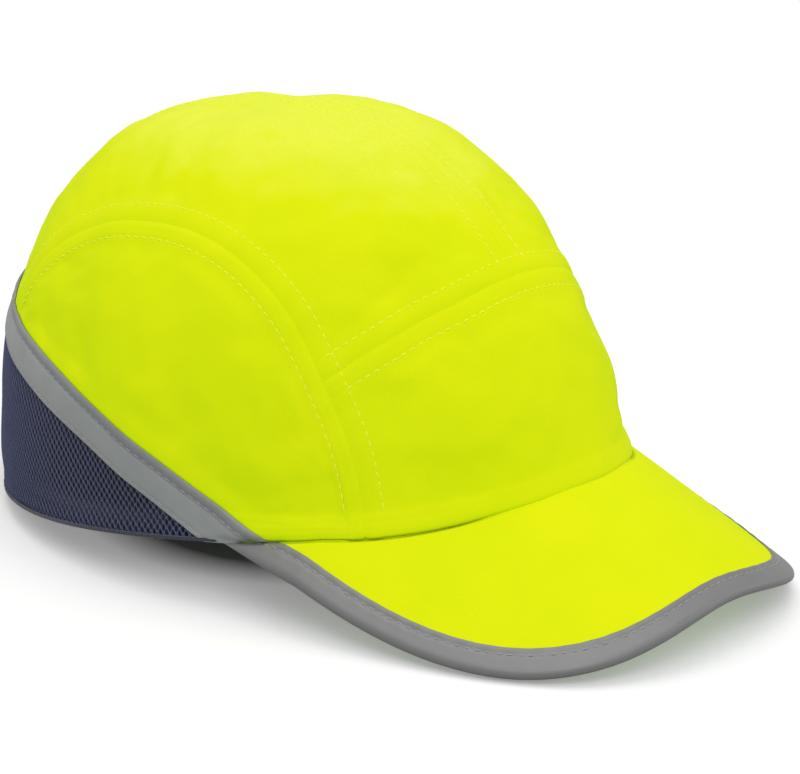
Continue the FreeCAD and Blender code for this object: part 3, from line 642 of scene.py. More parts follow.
def tape_turn(distance, shift=0.0):
    """Turn at which the tape, moved up by shift, crosses the slice x = distance."""

    def error(turn):
        return tape_line(crown(slice_direction(distance, turn)))[0] - shift

    return solve(error, 1.0 + 0 * distance, 90.0)


def tape_direction(azimuth):
    """Direction of the tape's middle at an azimuth."""

    def error(elevation):
        return tape_line(crown(compass(azimuth, elevation)))[0]

    return compass(azimuth, solve(error, LOWEST + 0 * azimuth, HIGHEST))


def mirrored(directions, side):
    """Directions for the wearer's left (side 1) or right (side -1)."""
    return directions * np.array([side, 1.0, 1.0])


def crown_sheet(name, directions, side, seed):
    """Cloth panel over a grid of directions, loosened by simulation inside its sewn border."""
    directions = mirrored(directions, side)
    outer, normals = cloth_point(directions)
    inner = cloth_point(directions, CLOTH)[0]
    slack = relaxed(outer, normals, seed) * smooth_step(*LOOSE_BORDER, border_distance(outer))
    slack = np.clip(SLACK_SHARE * slack, -SLACK_LIMIT, SLACK_LIMIT)[..., None] * normals
    return sheet(name, outer + slack, inner + slack)


def front_panel():
    """Forehead panel, from the rim to the cross seam."""
    distance = np.linspace(-SIDE_SEAM, SIDE_SEAM, count_for(123))
    turns = spread(180.0, front_turn(distance), count_for(80))
    return crown_sheet("front_panel_cloth", slice_direction(distance[:, None], turns), 1, 1)


def top_panel(side, label):
    """Panel over one half of the head, from the cross seam back to the tape."""
    distance = np.linspace(0.0, SIDE_SEAM, count_for(70))
    turns = spread(front_turn(distance), tape_turn(distance), count_for(195))
    grid = slice_direction(distance[:, None], turns)
    return crown_sheet("top_panel_cloth_" + label, grid, side, 3 + side)


def side_panel(side, label):
    """Panel between the side seam above and the tape or the rim below."""
    seam = np.array(SIDE_SEAM)
    trim = 1.0
    back = solve(lambda a: crown(tape_direction(a))[..., 0] - seam, 20.0, 85.0) - trim
    front = solve(lambda a: crown(compass(a, 0.0))[..., 0] - seam, -20.0, -85.0) + trim
    azimuth = np.linspace(front, back, count_for(150))
    turn = np.linspace(180.0 - trim, tape_turn(seam) + trim, count_for(150))
    low = tape_direction(azimuth)
    low = np.where(low[:, 2:] < 0, compass(azimuth, 0.0 * azimuth), low)
    low = to_direction(crown(low))[:, None]
    high = to_direction(crown(slice_direction(seam, turn)))[:, None]
    share = np.linspace(0, 1, count_for(75))[:, None]
    grid = low * (1 - share) + high * share
    return crown_sheet("side_panel_cloth_" + label, grid, side, 7 + side)


# --- mesh panels

CELL_HALF_WIDTH, CELL_HALF_HEIGHT = 1.15, 1.5
HOLE_HALF_WIDTH, HOLE_HALF_HEIGHT = 0.66, 1.06
MESH_FRONT, MESH_BACK = -40.0, 90.0
MESH_LOWEST, MESH_TALLEST = 1.4, 70.0
OUTLINE_POINTS = 12


def rim_run():
    """Azimuths, and the running length round the crown a little above the rim."""
    azimuth = np.linspace(MESH_FRONT, MESH_BACK, 400)
    points = crown(height_direction(azimuth, 15.0 + 0 * azimuth))
    steps = np.linalg.norm(np.diff(points, axis=0), axis=-1)
    return azimuth, np.concatenate([[0], np.cumsum(steps)])


def cell_outline():
    """Points of a diamond and of the hole inside it, round the cell's middle."""
    angles = np.radians(np.arange(0, 360, 360 / OUTLINE_POINTS))
    c, s = np.cos(angles), np.sin(angles)
    diamond = 1 / (np.abs(c) / CELL_HALF_WIDTH + np.abs(s) / CELL_HALF_HEIGHT)
    border = np.stack([diamond * c, diamond * s], -1)
    hole = np.stack([HOLE_HALF_WIDTH * c, HOLE_HALF_HEIGHT * s], -1)
    return border, hole


def mesh_panel(side, label):
    """Warp-knitted mesh with staggered upright holes, below the tape."""
    azimuths, run = rim_run()
    columns = np.arange(int(run[-1] / CELL_HALF_WIDTH) + 1)
    rows = np.arange(int(MESH_TALLEST / CELL_HALF_HEIGHT))
    column, row = np.meshgrid(columns, rows, indexing="ij")
    used = (column + row) % 2 == 0
    along = run[-1] - column[used] * CELL_HALF_WIDTH
    height = MESH_LOWEST + row[used] * CELL_HALF_HEIGHT
    centre = crown(height_direction(np.interp(along, run, azimuths), height))
    inside = (tape_line(centre)[0] < 2.5) & (arch_edge(centre)[0] * ARCH_HALF_WIDTH > 2.0)
    inside &= along < run[-1]
    along, height = along[inside], height[inside]

    border, hole = cell_outline()
    rings = [(border, 0.24), ((border + hole) / 2, 0.18), (hole, 0.0), (hole, -0.12), (border, -0.3)]
    cells = len(along)
    plane = np.concatenate([np.stack([along, height], -1)[:, None] + ring for ring, _ in rings], 1)
    lift = np.repeat([level for _, level in rings], OUTLINE_POINTS)
    azimuth = np.interp(plane[..., 0], run, azimuths)
    lowest = rim_rise(crown(compass(azimuth, 0 * azimuth))[..., 1]) + 0.5
    directions = mirrored(height_direction(azimuth, np.maximum(plane[..., 1], lowest)), side)
    points, normals = crown(directions), crown_normal(directions)
    points = points + normals * (relief(points, normals) + lift)[..., None]

    index = np.arange(cells * len(lift)).reshape(cells, len(rings), OUTLINE_POINTS)
    faces = ring_walls(index)
    if side < 0:
        faces = faces[:, ::-1]
    flat, layer = plane.reshape(-1, 2), np.tile(lift, cells)
    keys = np.round(np.column_stack([flat * 200, layer * 100])).astype(np.int64)
    _, kept, merged = np.unique(keys, axis=0, return_index=True, return_inverse=True)
    faces = merged.reshape(-1)[faces]
    return mesh_piece("mesh_panel_knit_" + label, points.reshape(-1, 3)[kept], [faces], flat[kept])


# --- side tapes

TAPE_HALF = TAPE_WIDTH / 2
UPPER_ROW, LOWER_ROW = 3.2, -5.1
TAPE_LIFT = 0.75
PEAK_REAR = -41.0


def tape_front(target):
    """Azimuth at which the tape's line at a distance from its middle reaches peak or rim."""

    def clearance(azimuth):
        points = crown(move_to(tape_line, tape_direction(azimuth), target))
        over_peak = peak_top(points[..., 0], points[..., 1]) - 2.2
        share = smooth_step(PEAK_REAR, PEAK_REAR - 12.0, points[..., 1])
        edge = np.maximum(over_peak * share, rim_rise(points[..., 1]) - 0.4)
        return points[..., 2] - edge

    return solve(clearance, np.array(-56.0), np.array(-10.0))


def tape_grid(targets, count):
    """Directions along the tape at distances from its middle."""
    columns = []
    for target in targets:
        azimuth = np.linspace(float(tape_front(target)), 90.0, count)
        columns.append(move_to(tape_line, tape_direction(azimuth), target))
    return np.stack(columns, 1)


def tape_relief(across, points):
    """Height of the tape across its width: edges, stitch grooves, ridges and ripples."""
    edge = -0.25 * smooth_step(TAPE_HALF - 0.6, TAPE_HALF, np.abs(across))
    rows = -0.3 * (bump(across - UPPER_ROW, 0.55) + bump(across - LOWER_ROW, 0.55))
    allowance = 0.3 * bump(across - 4.9, 1.3) + 0.12 * bump(across + 1.0, 3.0)
    ripple = 0.1 * np.sin(2 * math.pi * points[..., 1] / 9.0 + 3 * drift(points, 20.0, 60.0))
    return edge + rows + allowance + ripple * bump(across - UPPER_ROW, 3.5)


def tape_surface(directions, across, depth=0.0):
    """Points of the tape's outside, or of its back when depth is its thickness."""
    points, normals = cloth_point(directions)
    lift = TAPE_LIFT + tape_relief(across, points) - depth
    return points + normals * lift[..., None], normals


def side_tape(side, label):
    """Reflective tape over the joint of side panel and mesh."""
    targets = np.linspace(-TAPE_HALF, TAPE_HALF, 27)
    directions = mirrored(tape_grid(targets, 190), side)
    outer = tape_surface(directions, targets)[0]
    inner = tape_surface(directions, targets, TAPE_THICKNESS)[0]
    return sheet("reflective_tape_band_" + label, outer, inner)


def tape_stitches(side, label):
    """Two stitch rows along the tape."""
    rows = []
    for target in (UPPER_ROW, LOWER_ROW):
        directions = mirrored(tape_grid([target], 400), side)[:, 0]
        rows.append(tape_surface(directions, target))
    return stitches("tape_stitching_" + label, rows)


# --- crown stitches


def clear_part(points, normals):
    """True where a crown stitch row is not covered by tape, peak or hem."""
    above_tape = distance_from(tape_line, points, normals)[0] > TAPE_HALF + 0.7
    above_peak = distance_from(crease, points, normals)[0] > HEM_ROW
    high = points[..., 2] > np.maximum(tape_height(points[..., 1]) + 4.0, 2.0)
    return above_tape & high & (above_peak | (points[..., 1] > 0))


def crown_row(line, base, target):
    """Stitch path beside a seam."""
    directions = move_to(line, base, target)
    plain, plain_normals = crown(directions), crown_normal(directions)
    return cloth_point(directions[clear_part(plain, plain_normals)])


def crown_stitches():
    """Topstitching on both sides of every crown seam."""
    rows = []
    turns = np.linspace(181.0, 3.0, 700)
    for side, _ in SIDES:
        seam = mirrored(slice_direction(SIDE_SEAM + 0 * turns, turns), side)
        rows += [crown_row(side_seam, seam, target) for target in (ROW_DISTANCE, -ROW_DISTANCE)]
        top = float(front_turn(np.array(0.0), 1.0))
        middle = slice_direction(0 * turns, np.linspace(top, 3.0, 700))
        rows.append(crown_row(centre_seam, middle, side * ROW_DISTANCE))
    reach = SIDE_SEAM - 0.8
    across = np.linspace(-reach, reach, 400)
    base = slice_direction(across, front_turn(across))
    rows += [crown_row(front_seam, base, target) for target in (ROW_DISTANCE, -ROW_DISTANCE)]
    return stitches("crown_stitching", rows)


# --- peak

PEAK_ANGLES = (3.0, 177.0)
PEAK_SKIN = 0.5
CHANNEL_SHARE, CHANNEL_PLACE = 0.38, 1.65
REAR_THINNING, MOST_THINNING = 0.62, 0.85
PEAK_TAPE = 5.7
PEAK_LIP = 1.2
PEAK_ROW, ROW_GROOVE = 1.9, 0.28
PEAK_TUCK = 0.7


def peak_rays(count):
    """Where rays from the peak's centre start, just inside the crown, and where they end."""
    angles = np.radians(np.linspace(*PEAK_ANGLES, count))
    c, s = np.cos(angles), np.sin(angles)
    length = PEAK_REACH - PEAK_BACK
    powers = np.abs(c / PEAK_HALF_WIDTH) ** PEAK_POWER + np.abs(s / length) ** PEAK_POWER
    reach = powers ** (-1 / PEAK_POWER)

    def outside(distance):
        x, y = distance * c, -PEAK_BACK - distance * s
        point = np.stack([x, y, peak_top(x, y)], -1)
        surface = crown(to_direction(point))
        return np.linalg.norm(point, axis=-1) - np.linalg.norm(surface, axis=-1) + PEAK_TUCK

    return solve(outside, 20.0 + 0 * reach, reach), reach, c, s


def above_crown(points):
    """Distance of points from the plain crown surface."""
    directions = to_direction(points)
    reach = np.linalg.norm(points, axis=-1)
    gap = reach - np.linalg.norm(crown(directions), axis=-1)
    return gap * (crown_normal(directions) * points).sum(-1) / reach


def peak_point(distance, c, s, depth):
    """Point below the peak's upper side by a depth along its normal."""
    x, y = distance * c, -PEAK_BACK - distance * s
    eased = np.where(-y - FRONT_LENGTH < -PEAK_FLAT_RUN, PEAK_EASED_SHARE, 1.0)
    normal = unit(np.stack([PEAK_CURL * x, -PEAK_SLOPE * eased, 0 * x + 1], -1))
    top = np.stack([x, y, peak_top(x, y)], -1)
    channel = CHANNEL_SHARE * (1 - 0.85 * smooth_step(-100.0, -115.0, y))
    thin = REAR_THINNING * smooth_step(-64.0, -42.0, y)
    thin = thin + channel * bump(above_crown(top) - CHANNEL_PLACE, 0.7)
    depth = depth + np.minimum(thin, MOST_THINNING) * np.maximum(PEAK_THICKNESS - depth, 0.0)
    wave = 0.22 * drift(top, 30.0, 90.0) * smooth_step(0.0, 20.0, -y - 60.0)
    return top + normal * (wave - depth)[..., None], normal


def tape_inner_edge(join, reach):
    """Where the edge tape starts on each ray."""
    width = np.maximum(reach - join, 0.5)
    return reach - 0.985 * width * PEAK_TAPE / (width**4 + PEAK_TAPE**4) ** 0.25


def peak_layer(name, outer_depth, inner_depth, margin=1.2):
    """One layer of the peak, between two depths and ending short of the outer edge."""
    join, reach, c, s = peak_rays(300)
    near = np.minimum(join + 9.0, (join + reach - margin) / 2)
    distance = np.concatenate([spread(join, near, 20), spread(near, reach - margin, 76)[:, 1:]], 1)
    outer = peak_point(distance, c[:, None], s[:, None], outer_depth)[0]
    inner = peak_point(distance, c[:, None], s[:, None], inner_depth)[0]
    return sheet(name, outer, inner)


def peak_tape():
    """Reflective tape folded over the peak's outer edge."""
    join, reach, c, s = peak_rays(420)
    inner_edge = tape_inner_edge(join, reach)
    bend = PEAK_THICKNESS / 2
    bend_start = reach + PEAK_LIP - bend
    straight = spread(inner_edge, bend_start, 14)[:, :-1]
    turn = np.radians(np.linspace(90, -90, 13))
    flat = np.linspace(0, 1, 14)[:-1]

    def skin(lift, start_lift):
        radius = bend + lift
        arc = bend_start[:, None] + radius * np.cos(turn)
        distance = np.concatenate([straight, arc, straight[:, ::-1]], 1)
        groove = ROW_GROOVE * bump((straight - inner_edge[:, None]) - PEAK_ROW, 0.5)
        edge = start_lift * bump(flat, 0.04)
        top = groove + edge - lift
        ring = np.broadcast_to(bend - radius * np.sin(turn), arc.shape)
        depth = np.concatenate([top, ring, PEAK_THICKNESS - top[:, ::-1]], 1)
        return distance, depth

    outside, inside = skin(PEAK_SKIN, 0.2), skin(PEAK_SKIN - TAPE_THICKNESS, 0.0)
    distance = np.concatenate([outside[0], inside[0][:, ::-1]], 1)
    depth = np.concatenate([outside[1], inside[1][:, ::-1]], 1)
    path = path_lengths(peak_point(reach, c, s, 0 * reach)[0], 0)
    pucker = 0.07 * np.sin(2 * math.pi * path / 7.5)[:, None] * bump(distance - reach[:, None] + 5.0, 3.0)
    loops = peak_point(distance, c[:, None], s[:, None], depth + pucker)[0]
    return sweep("peak_edge_tape_band", loops)


def peak_stitches():
    """Stitch rows on the tape, above and below the peak."""
    join, reach, c, s = peak_rays(500)
    distance = np.minimum(tape_inner_edge(join, reach) + PEAK_ROW, reach - 2.0)
    rows = []
    above, below = ROW_GROOVE - PEAK_SKIN, PEAK_THICKNESS + PEAK_SKIN - ROW_GROOVE
    for depth, sign in ((above, 1), (below, -1)):
        points, normals = peak_point(distance, c, s, depth + 0 * distance)
        rows.append((points, normals * sign))
    return stitches("peak_stitching", rows)


# --- bindings and inside tapes

ARCH_ROW = 5.4
ARCH_BAND, ARCH_BACK_SHARE = 6.8, 0.85
ARCH_FRONT, ARCH_BACK, ARCH_INNER_BACK, ARCH_INNER_FRONT = 0.85, -1.45, -1.0, 0.4
ARCH_BEND, ARCH_INNER_BEND = 1.1, 0.7
RIM_BACK = 2.3
RIM_FOLD = (-48.0, -40.0)
SEAM_TAPE_HALF, SEAM_TAPE_FRONT, SEAM_TAPE_BACK = 6.0, 1.15, 1.6


def arch_point(angle, grow):
    """Sideways place and height of the rear opening's edge, grown outwards."""
    wide, tall = ARCH_HALF_WIDTH + grow, ARCH_HEIGHT + grow
    c, s = np.cos(np.radians(angle)), np.sin(np.radians(angle))
    reach = (np.abs(c / wide) ** ARCH_POWER + np.abs(s / tall) ** ARCH_POWER) ** (-1 / ARCH_POWER)
    return reach * c, reach * s


def back_direction(across, height):
    """Direction of the point at the back of the crown with this x and height."""

    def error(turn):
        return crown(slice_direction(across, turn))[..., 2] - height

    return slice_direction(across, solve(error, -30.0 + 0 * across, 89.0))


def arch_surface(angle, grow, lift):
    """Point on the crown beside the rear opening, raised by lift."""
    across, height = arch_point(angle, grow)
    directions = back_direction(across, height)
    points, normals = crown(directions), crown_normal(directions)
    return points + normals * (relief(points, normals) * 0.6 + lift)[..., None], normals


def arch_binding():
    """Binding folded over the edge of the rear opening."""
    turn = np.radians(np.linspace(90, 270, 9))
    back_turn = turn[::-1]
    outside = np.linspace(ARCH_BAND, 0.0, 12)
    row = 0.25 * bump(outside - ARCH_ROW, 0.5) + 0.15 * bump(outside - ARCH_BAND, 0.4)
    back = outside[::-1] * ARCH_BACK_SHARE
    profile = [
        (outside, ARCH_FRONT - row),
        (ARCH_BEND * np.cos(turn), 1.15 * np.sin(turn) - 0.3),
        (back, 0 * back + ARCH_BACK),
        (back, 0 * back + ARCH_INNER_BACK),
        (ARCH_INNER_BEND * np.cos(back_turn), ARCH_INNER_BEND * np.sin(back_turn) - 0.3),
        (outside, 0 * outside + ARCH_INNER_FRONT),
    ]
    grow, lift = (np.concatenate(group) for group in zip(*profile))
    angle = np.linspace(0, 180, 150)[:, None]
    wave = 0.1 * np.sin(angle * 0.9) * np.ones_like(grow)
    loops = arch_surface(angle + 0 * grow, grow + 0 * angle, lift + wave)[0]
    return sweep("arch_binding_band", loops)


def arch_stitches():
    """Stitch row on the binding of the rear opening."""
    angle = np.linspace(3, 177, 300)
    return stitches("arch_stitching", [arch_surface(angle, ARCH_ROW + 0 * angle, 0.62 + 0 * angle)])


def rim_azimuths(clearance, count):
    """Azimuths round the rim from one side of the rear opening to the other."""
    wide = ARCH_HALF_WIDTH + clearance
    start = float(solve(lambda a: crown(compass(a, 0.0))[..., 0] - wide, np.array(89.0), 20.0))
    return np.linspace(start - 360.0, 180.0 - start, count)


def rim_loops(azimuths, offsets, heights):
    """Cross-sections round the rim from inward offsets and heights."""
    azimuth = azimuths[:, None] + 0 * heights
    directions = height_direction(azimuth, np.maximum(heights, 0.02))
    points = crown(directions) - crown_normal(directions) * offsets[..., None]
    points[..., 2] += np.minimum(heights - 0.02, 0)
    return points


def rim_binding():
    """Binding round the rim: folded over the mesh behind, inside only behind the peak."""
    azimuths = rim_azimuths(0.3, 520)
    along = crown(compass(azimuths, 0.0 * azimuths))[:, 1:2]
    behind = smooth_step(*RIM_FOLD, along)
    top = 0.9 * behind - 0.1 * (1 - behind)
    face = -0.95 * behind + 1.2 * (1 - behind)
    share = np.linspace(0, 1, 6)
    turn = np.radians(np.linspace(180, 360, 9))
    middle, half = (face + RIM_BACK) / 2, (RIM_BACK - face) / 2
    up = np.linspace(0, 4.5, 8)
    rise = rim_rise(along) * behind
    profile = [
        (face + 0 * share, rise + top * (1 - share)),
        (middle - half * np.cos(turn - math.pi), rise + 0.4 * np.sin(turn)),
        (RIM_BACK + 0 * (along + up), np.maximum(up, rise)),
        (RIM_BACK - 0.5 + 0 * (along + up), np.maximum(up[::-1], rise + 0.1)),
        (face + 0.5 + 0 * share, rise + top * share + 0.1),
    ]
    offsets, heights = (np.concatenate(group, 1) for group in zip(*profile))
    return sweep("rim_binding_band", rim_loops(azimuths, offsets, heights))


def seam_tape(name, line, base):
    """Tape under a seam, on the inside of the cloth; base runs along the seam."""
    targets = np.linspace(-SEAM_TAPE_HALF, SEAM_TAPE_HALF, 9)
    directions = np.stack([move_to(line, base, target) for target in targets], 1)
    points, normals = crown(directions), crown_normal(directions)
    wave = 0.1 * drift(points, 16.0, 40.0) - 0.12 * bump(np.abs(targets) - ROW_DISTANCE, 0.6)
    outer = points - normals * (SEAM_TAPE_FRONT - wave)[..., None]
    inner = points - normals * (SEAM_TAPE_BACK - wave)[..., None]
    return sheet(name, outer, inner)


def inside_tapes():
    """Tapes under the middle seam, the cross seam and both side seams."""
    front = float(front_turn(np.array(0.0), 7.0))
    back = float(tape_turn(np.array(0.0), 6.0))
    base = slice_direction(np.full(160, 0.0), np.linspace(front, back, 160))
    pieces = [("centre_seam_tape", seam_tape("centre_seam_band", centre_seam, base))]
    across = np.linspace(7.0 - SIDE_SEAM, SIDE_SEAM - 7.0, 120)
    base = slice_direction(across, front_turn(across))
    pieces.append(("front_seam_tape", seam_tape("front_seam_band", front_seam, base)))

    def above_rim(turn):
        return crown(slice_direction(SIDE_SEAM, turn))[..., 2] - 6.0

    low = float(solve(above_rim, 180.0, 91.0))
    high = float(tape_turn(np.array(SIDE_SEAM), 6.0))
    for side, label in SIDES:
        base = mirrored(slice_direction(np.full(170, SIDE_SEAM), np.linspace(low, high, 170)), side)
        pieces.append(("side_seam_tape_" + label, seam_tape("side_seam_band_" + label, side_seam, base)))
    return pieces


# --- sweatband and foam

SWEATBAND_TOP = 32.1
SWEATBAND_ROW = 29.2


def sweatband_profile():
    """Offsets and heights of the sweatband's padded cross-section, a closed loop."""
    height = np.linspace(0.6, SWEATBAND_TOP, 22)
    lean = smooth_step(0.0, 9.0, height)
    outer = 2.6 + 3.6 * lean
    puff = np.sin(math.pi * np.clip((height - 3.0) / 26.5, 0, 1)) ** 0.6
    inner = outer + 1.2 + 1.5 * puff
    roll = np.radians(np.linspace(150, 0, 9))
    centre = (outer[-1] + inner[-1]) / 2
    half = (inner[-1] - outer[-1]) / 2 + 0.35
    offsets = np.concatenate([outer, centre + half * np.cos(roll), inner[::-1]])
    heights = np.concatenate([height, height[-1] + 0.6 + half * np.sin(roll), height[::-1]])
    return offsets, heights


def sweatband():
    """Padded sweatband round the inside of the rim."""
    offsets, heights = sweatband_profile()
    azimuths = rim_azimuths(3.2, 420)
    loops = rim_loops(azimuths, offsets + 0 * azimuths[:, None], heights + 0 * azimuths[:, None])
    run = path_lengths(loops[:, :1], 0)
    crumple = 0.35 * drift(loops, 16.0, 50.0) * smooth_step(2.0, 10.0, loops[..., 2])
    from_row, inside = heights - SWEATBAND_ROW, offsets > 7.0
    puckers = 0.22 * np.sin(2 * math.pi * run / 6.2) * (bump(from_row, 2.2) * inside)
    crumple += puckers - 0.35 * bump(from_row, 0.8) * inside
    outward = unit(loops * np.array([1.0, 1.0, 0.0]))
    return sweep("sweatband_band", loops + outward * crumple[..., None])


def brow_foam():
    """Thin foam strip behind the sweatband at the forehead."""
    right, left, low, high = -140, -40, 10.0, 31.0
    azimuth = np.linspace(right, left, 120)[:, None]
    height = np.linspace(low, high, 22)[None, :]
    directions = height_direction(azimuth, height)
    ends = np.minimum(azimuth - right, left - azimuth) * 1.6
    edge = np.minimum(ends, np.minimum(height - low, high - height))
    depth = 5.1 + 0.55 * quarter_round(edge / 0.8)
    return sheet("brow_foam_strip", crown(directions, 4.9), crown(directions, depth))


PAD_OUTSIDE, PAD_THICKNESS, PAD_ROUNDING = 4.8, 5.0, 2.6
PAD_EDGE, PAD_AIR = 0.7, 0.15


def eased(start, end, count):
    """Values from start to end that crowd together at both ends."""
    share = (1 - np.cos(np.linspace(0, math.pi, count))) / 2
    return start + (end - start) * (0.6 * share + 0.4 * np.linspace(0, 1, count))


def pad(name, azimuths, elevations):
    """Foam pad glued inside the shell, with rounded edges; without azimuths it is a ring."""
    around = eased(*azimuths, 90) if azimuths else np.linspace(-180, 180, 241)[:-1]
    directions = compass(around[:, None], eased(*elevations, 46)[None, :])
    outer = crown(directions, PAD_OUTSIDE)
    to_end = border_distance(outer, (0, 1) if azimuths else (1,))
    lift = quarter_round(to_end / PAD_ROUNDING)
    swell = 0.12 * drift(outer, 16.0, 60.0)
    thick = PAD_EDGE + (PAD_THICKNESS - PAD_EDGE - PAD_AIR + swell) * lift
    normals = crown_normal(directions, PAD_OUTSIDE)
    return sheet(name, outer, outer - normals * thick[..., None], wrap=not azimuths)


def pads():
    """The five foam pads."""
    sides = (24.0, 56.0)
    return [
        ("crown_pad", pad("crown_pad_foam", None, (60.0, 83.5))),
        ("front_pad", pad("front_pad_foam", (-125.0, -55.0), sides)),
        ("rear_pad", pad("rear_pad_foam", (60.0, 120.0), sides)),
        ("side_pad_left", pad("side_pad_foam_left", (-28.0, 28.0), sides)),
        ("side_pad_right", pad("side_pad_foam_right", (152.0, 208.0), sides)),
    ]


# --- strap

STRAP_CENTRE = 18.0
STRAP_LOW, STRAP_HIGH = 5.5, 25.5
STRAP_MIDDLE = (STRAP_LOW + STRAP_HIGH) / 2
WEBBING, WEBBING_ROUNDING = 1.2, 0.32
SEWN_INSET = 2.0
HOOK_RADIUS = 0.085
FOLD_RADIUS, FOLD_ANGLE = 78.6, 110.9
TAB_ANGLE = 115.4
BASE_LAYER, TAIL_LAYER = (76.0, 77.2), (80.0, 81.2)
LOOP_START, TAIL_START, PATCH_END, SEWN_END = 63.5, 74.9, 104.6, 103.6


def polar(radius, angle, height):
    """Point about the strap's upright axis."""
    angle = np.radians(angle)
    return np.stack([radius * np.cos(angle), STRAP_CENTRE + radius * np.sin(angle), height + 0 * angle], -1)


def webbing_section(thickness):
    """Closed loop of a rounded rectangle as wide as the strap: thickness first, then width."""
    radius, width = WEBBING_ROUNDING, STRAP_HIGH - STRAP_LOW
    points = []
    for quarter, (across, along) in enumerate(((1, 1), (-1, 1), (-1, -1), (1, -1))):
        turn = np.radians(90 * quarter + np.linspace(0, 90, 5))
        outward = across * (thickness / 2 - radius) + radius * np.cos(turn)
        upward = along * (width / 2 - radius) + radius * np.sin(turn)
        points.append(np.stack([outward, upward], -1))
    loop = np.concatenate(points)
    long_side = np.linspace(loop[-1], loop[0], 14)[1:-1]
    other_side = np.linspace(loop[9], loop[10], 14)[1:-1]
    return np.concatenate([loop[:10], other_side, loop[10:], long_side])


def band(name, inner_radius, outer_radius, start, end, taper=0.0):
    """Piece of webbing or tape that follows the strap's curve; taper rounds its end corners."""
    section = webbing_section(outer_radius - inner_radius)
    angle = np.linspace(start, end, max(int(abs(end - start) * 1.6), 4))
    middle = (inner_radius + outer_radius) / 2
    run = np.radians(np.abs(angle - start)) * middle
    left = np.minimum(run, run[-1] - run)
    narrow = 1 - taper * (1 - quarter_round(left / 3.0)) * 0.35
    radius = middle + section[:, 0] + 0 * angle[:, None]
    height = STRAP_MIDDLE + section[:, 1] * narrow[:, None]
    return sweep(name, polar(radius, angle[:, None] + 0 * radius, height))


def fold(name, fold_angle, sign):
    """Half turn of webbing round a bar of the ring; sign is the way it bulges."""
    section = webbing_section(WEBBING)
    turn = np.radians(np.linspace(-90, 90, 17))[:, None]
    reach = 2.0 + section[:, 0]
    radius = FOLD_RADIUS + reach * np.sin(turn)
    angle = fold_angle + sign * np.degrees(reach * np.cos(turn) / FOLD_RADIUS)
    height = STRAP_MIDDLE + section[:, 1] + 0 * turn
    return sweep(name, polar(radius, angle, height))


def polar_stitches(name, rows):
    """Stitch rows on the strap; each row is radius, outward sign, angles and heights."""
    paths = []
    for radius, sign, angles, heights in rows:
        angle, height = np.linspace(*angles, 80), np.linspace(*heights, 80)
        points = polar(radius + 0 * angle, angle, height)
        outward = unit(points - polar(0.0, 0.0 * angle, height))
        paths.append((points, outward * sign))
    return stitches(name, paths)


def box_rows(radius, sign, start, end):
    """Four stitch rows of a sewn box between two angles."""
    low, high = STRAP_LOW + SEWN_INSET, STRAP_HIGH - SEWN_INSET
    return [
        (radius, sign, (start, end), (low, low)),
        (radius, sign, (start, end), (high, high)),
        (radius, sign, (start, start), (low, high)),
        (radius, sign, (end, end), (low, high)),
    ]


def hooks(name, radius, sign, start, end, pitch, tall, curl, seed):
    """Field of small bent hooks or loops standing on a patch."""
    chance = np.random.default_rng(seed)
    across = np.arange(STRAP_LOW + 1.0, STRAP_HIGH - 0.9, pitch)
    step = math.degrees(pitch / radius)
    grid_angle, grid_height = np.meshgrid(np.arange(start + step, end - step, step), across)
    grid_angle = (grid_angle + chance.uniform(-0.3, 0.3, grid_angle.shape) * step * curl).ravel()
    grid_height = (grid_height + chance.uniform(-0.3, 0.3, grid_height.shape) * pitch * curl).ravel()
    way = chance.uniform(0, 2 * math.pi, grid_angle.shape)
    bend = np.radians(np.linspace(0, 215, 8))
    rise = tall * (1 - np.cos(bend)) / 2
    lean = tall * 0.45 * np.sin(bend)
    centre = polar(
        radius + sign * rise + 0 * grid_angle[:, None],
        grid_angle[:, None] + np.degrees(lean * np.cos(way)[:, None] / radius),
        grid_height[:, None] + lean * np.sin(way)[:, None],
    )
    ahead = unit(np.gradient(centre, axis=1))
    first = unit(np.cross(ahead, np.array([0.13, 0.27, 0.95])))
    second = np.cross(ahead, first)
    return tubes(name, centre, first, second, HOOK_RADIUS, 4)


# --- materials


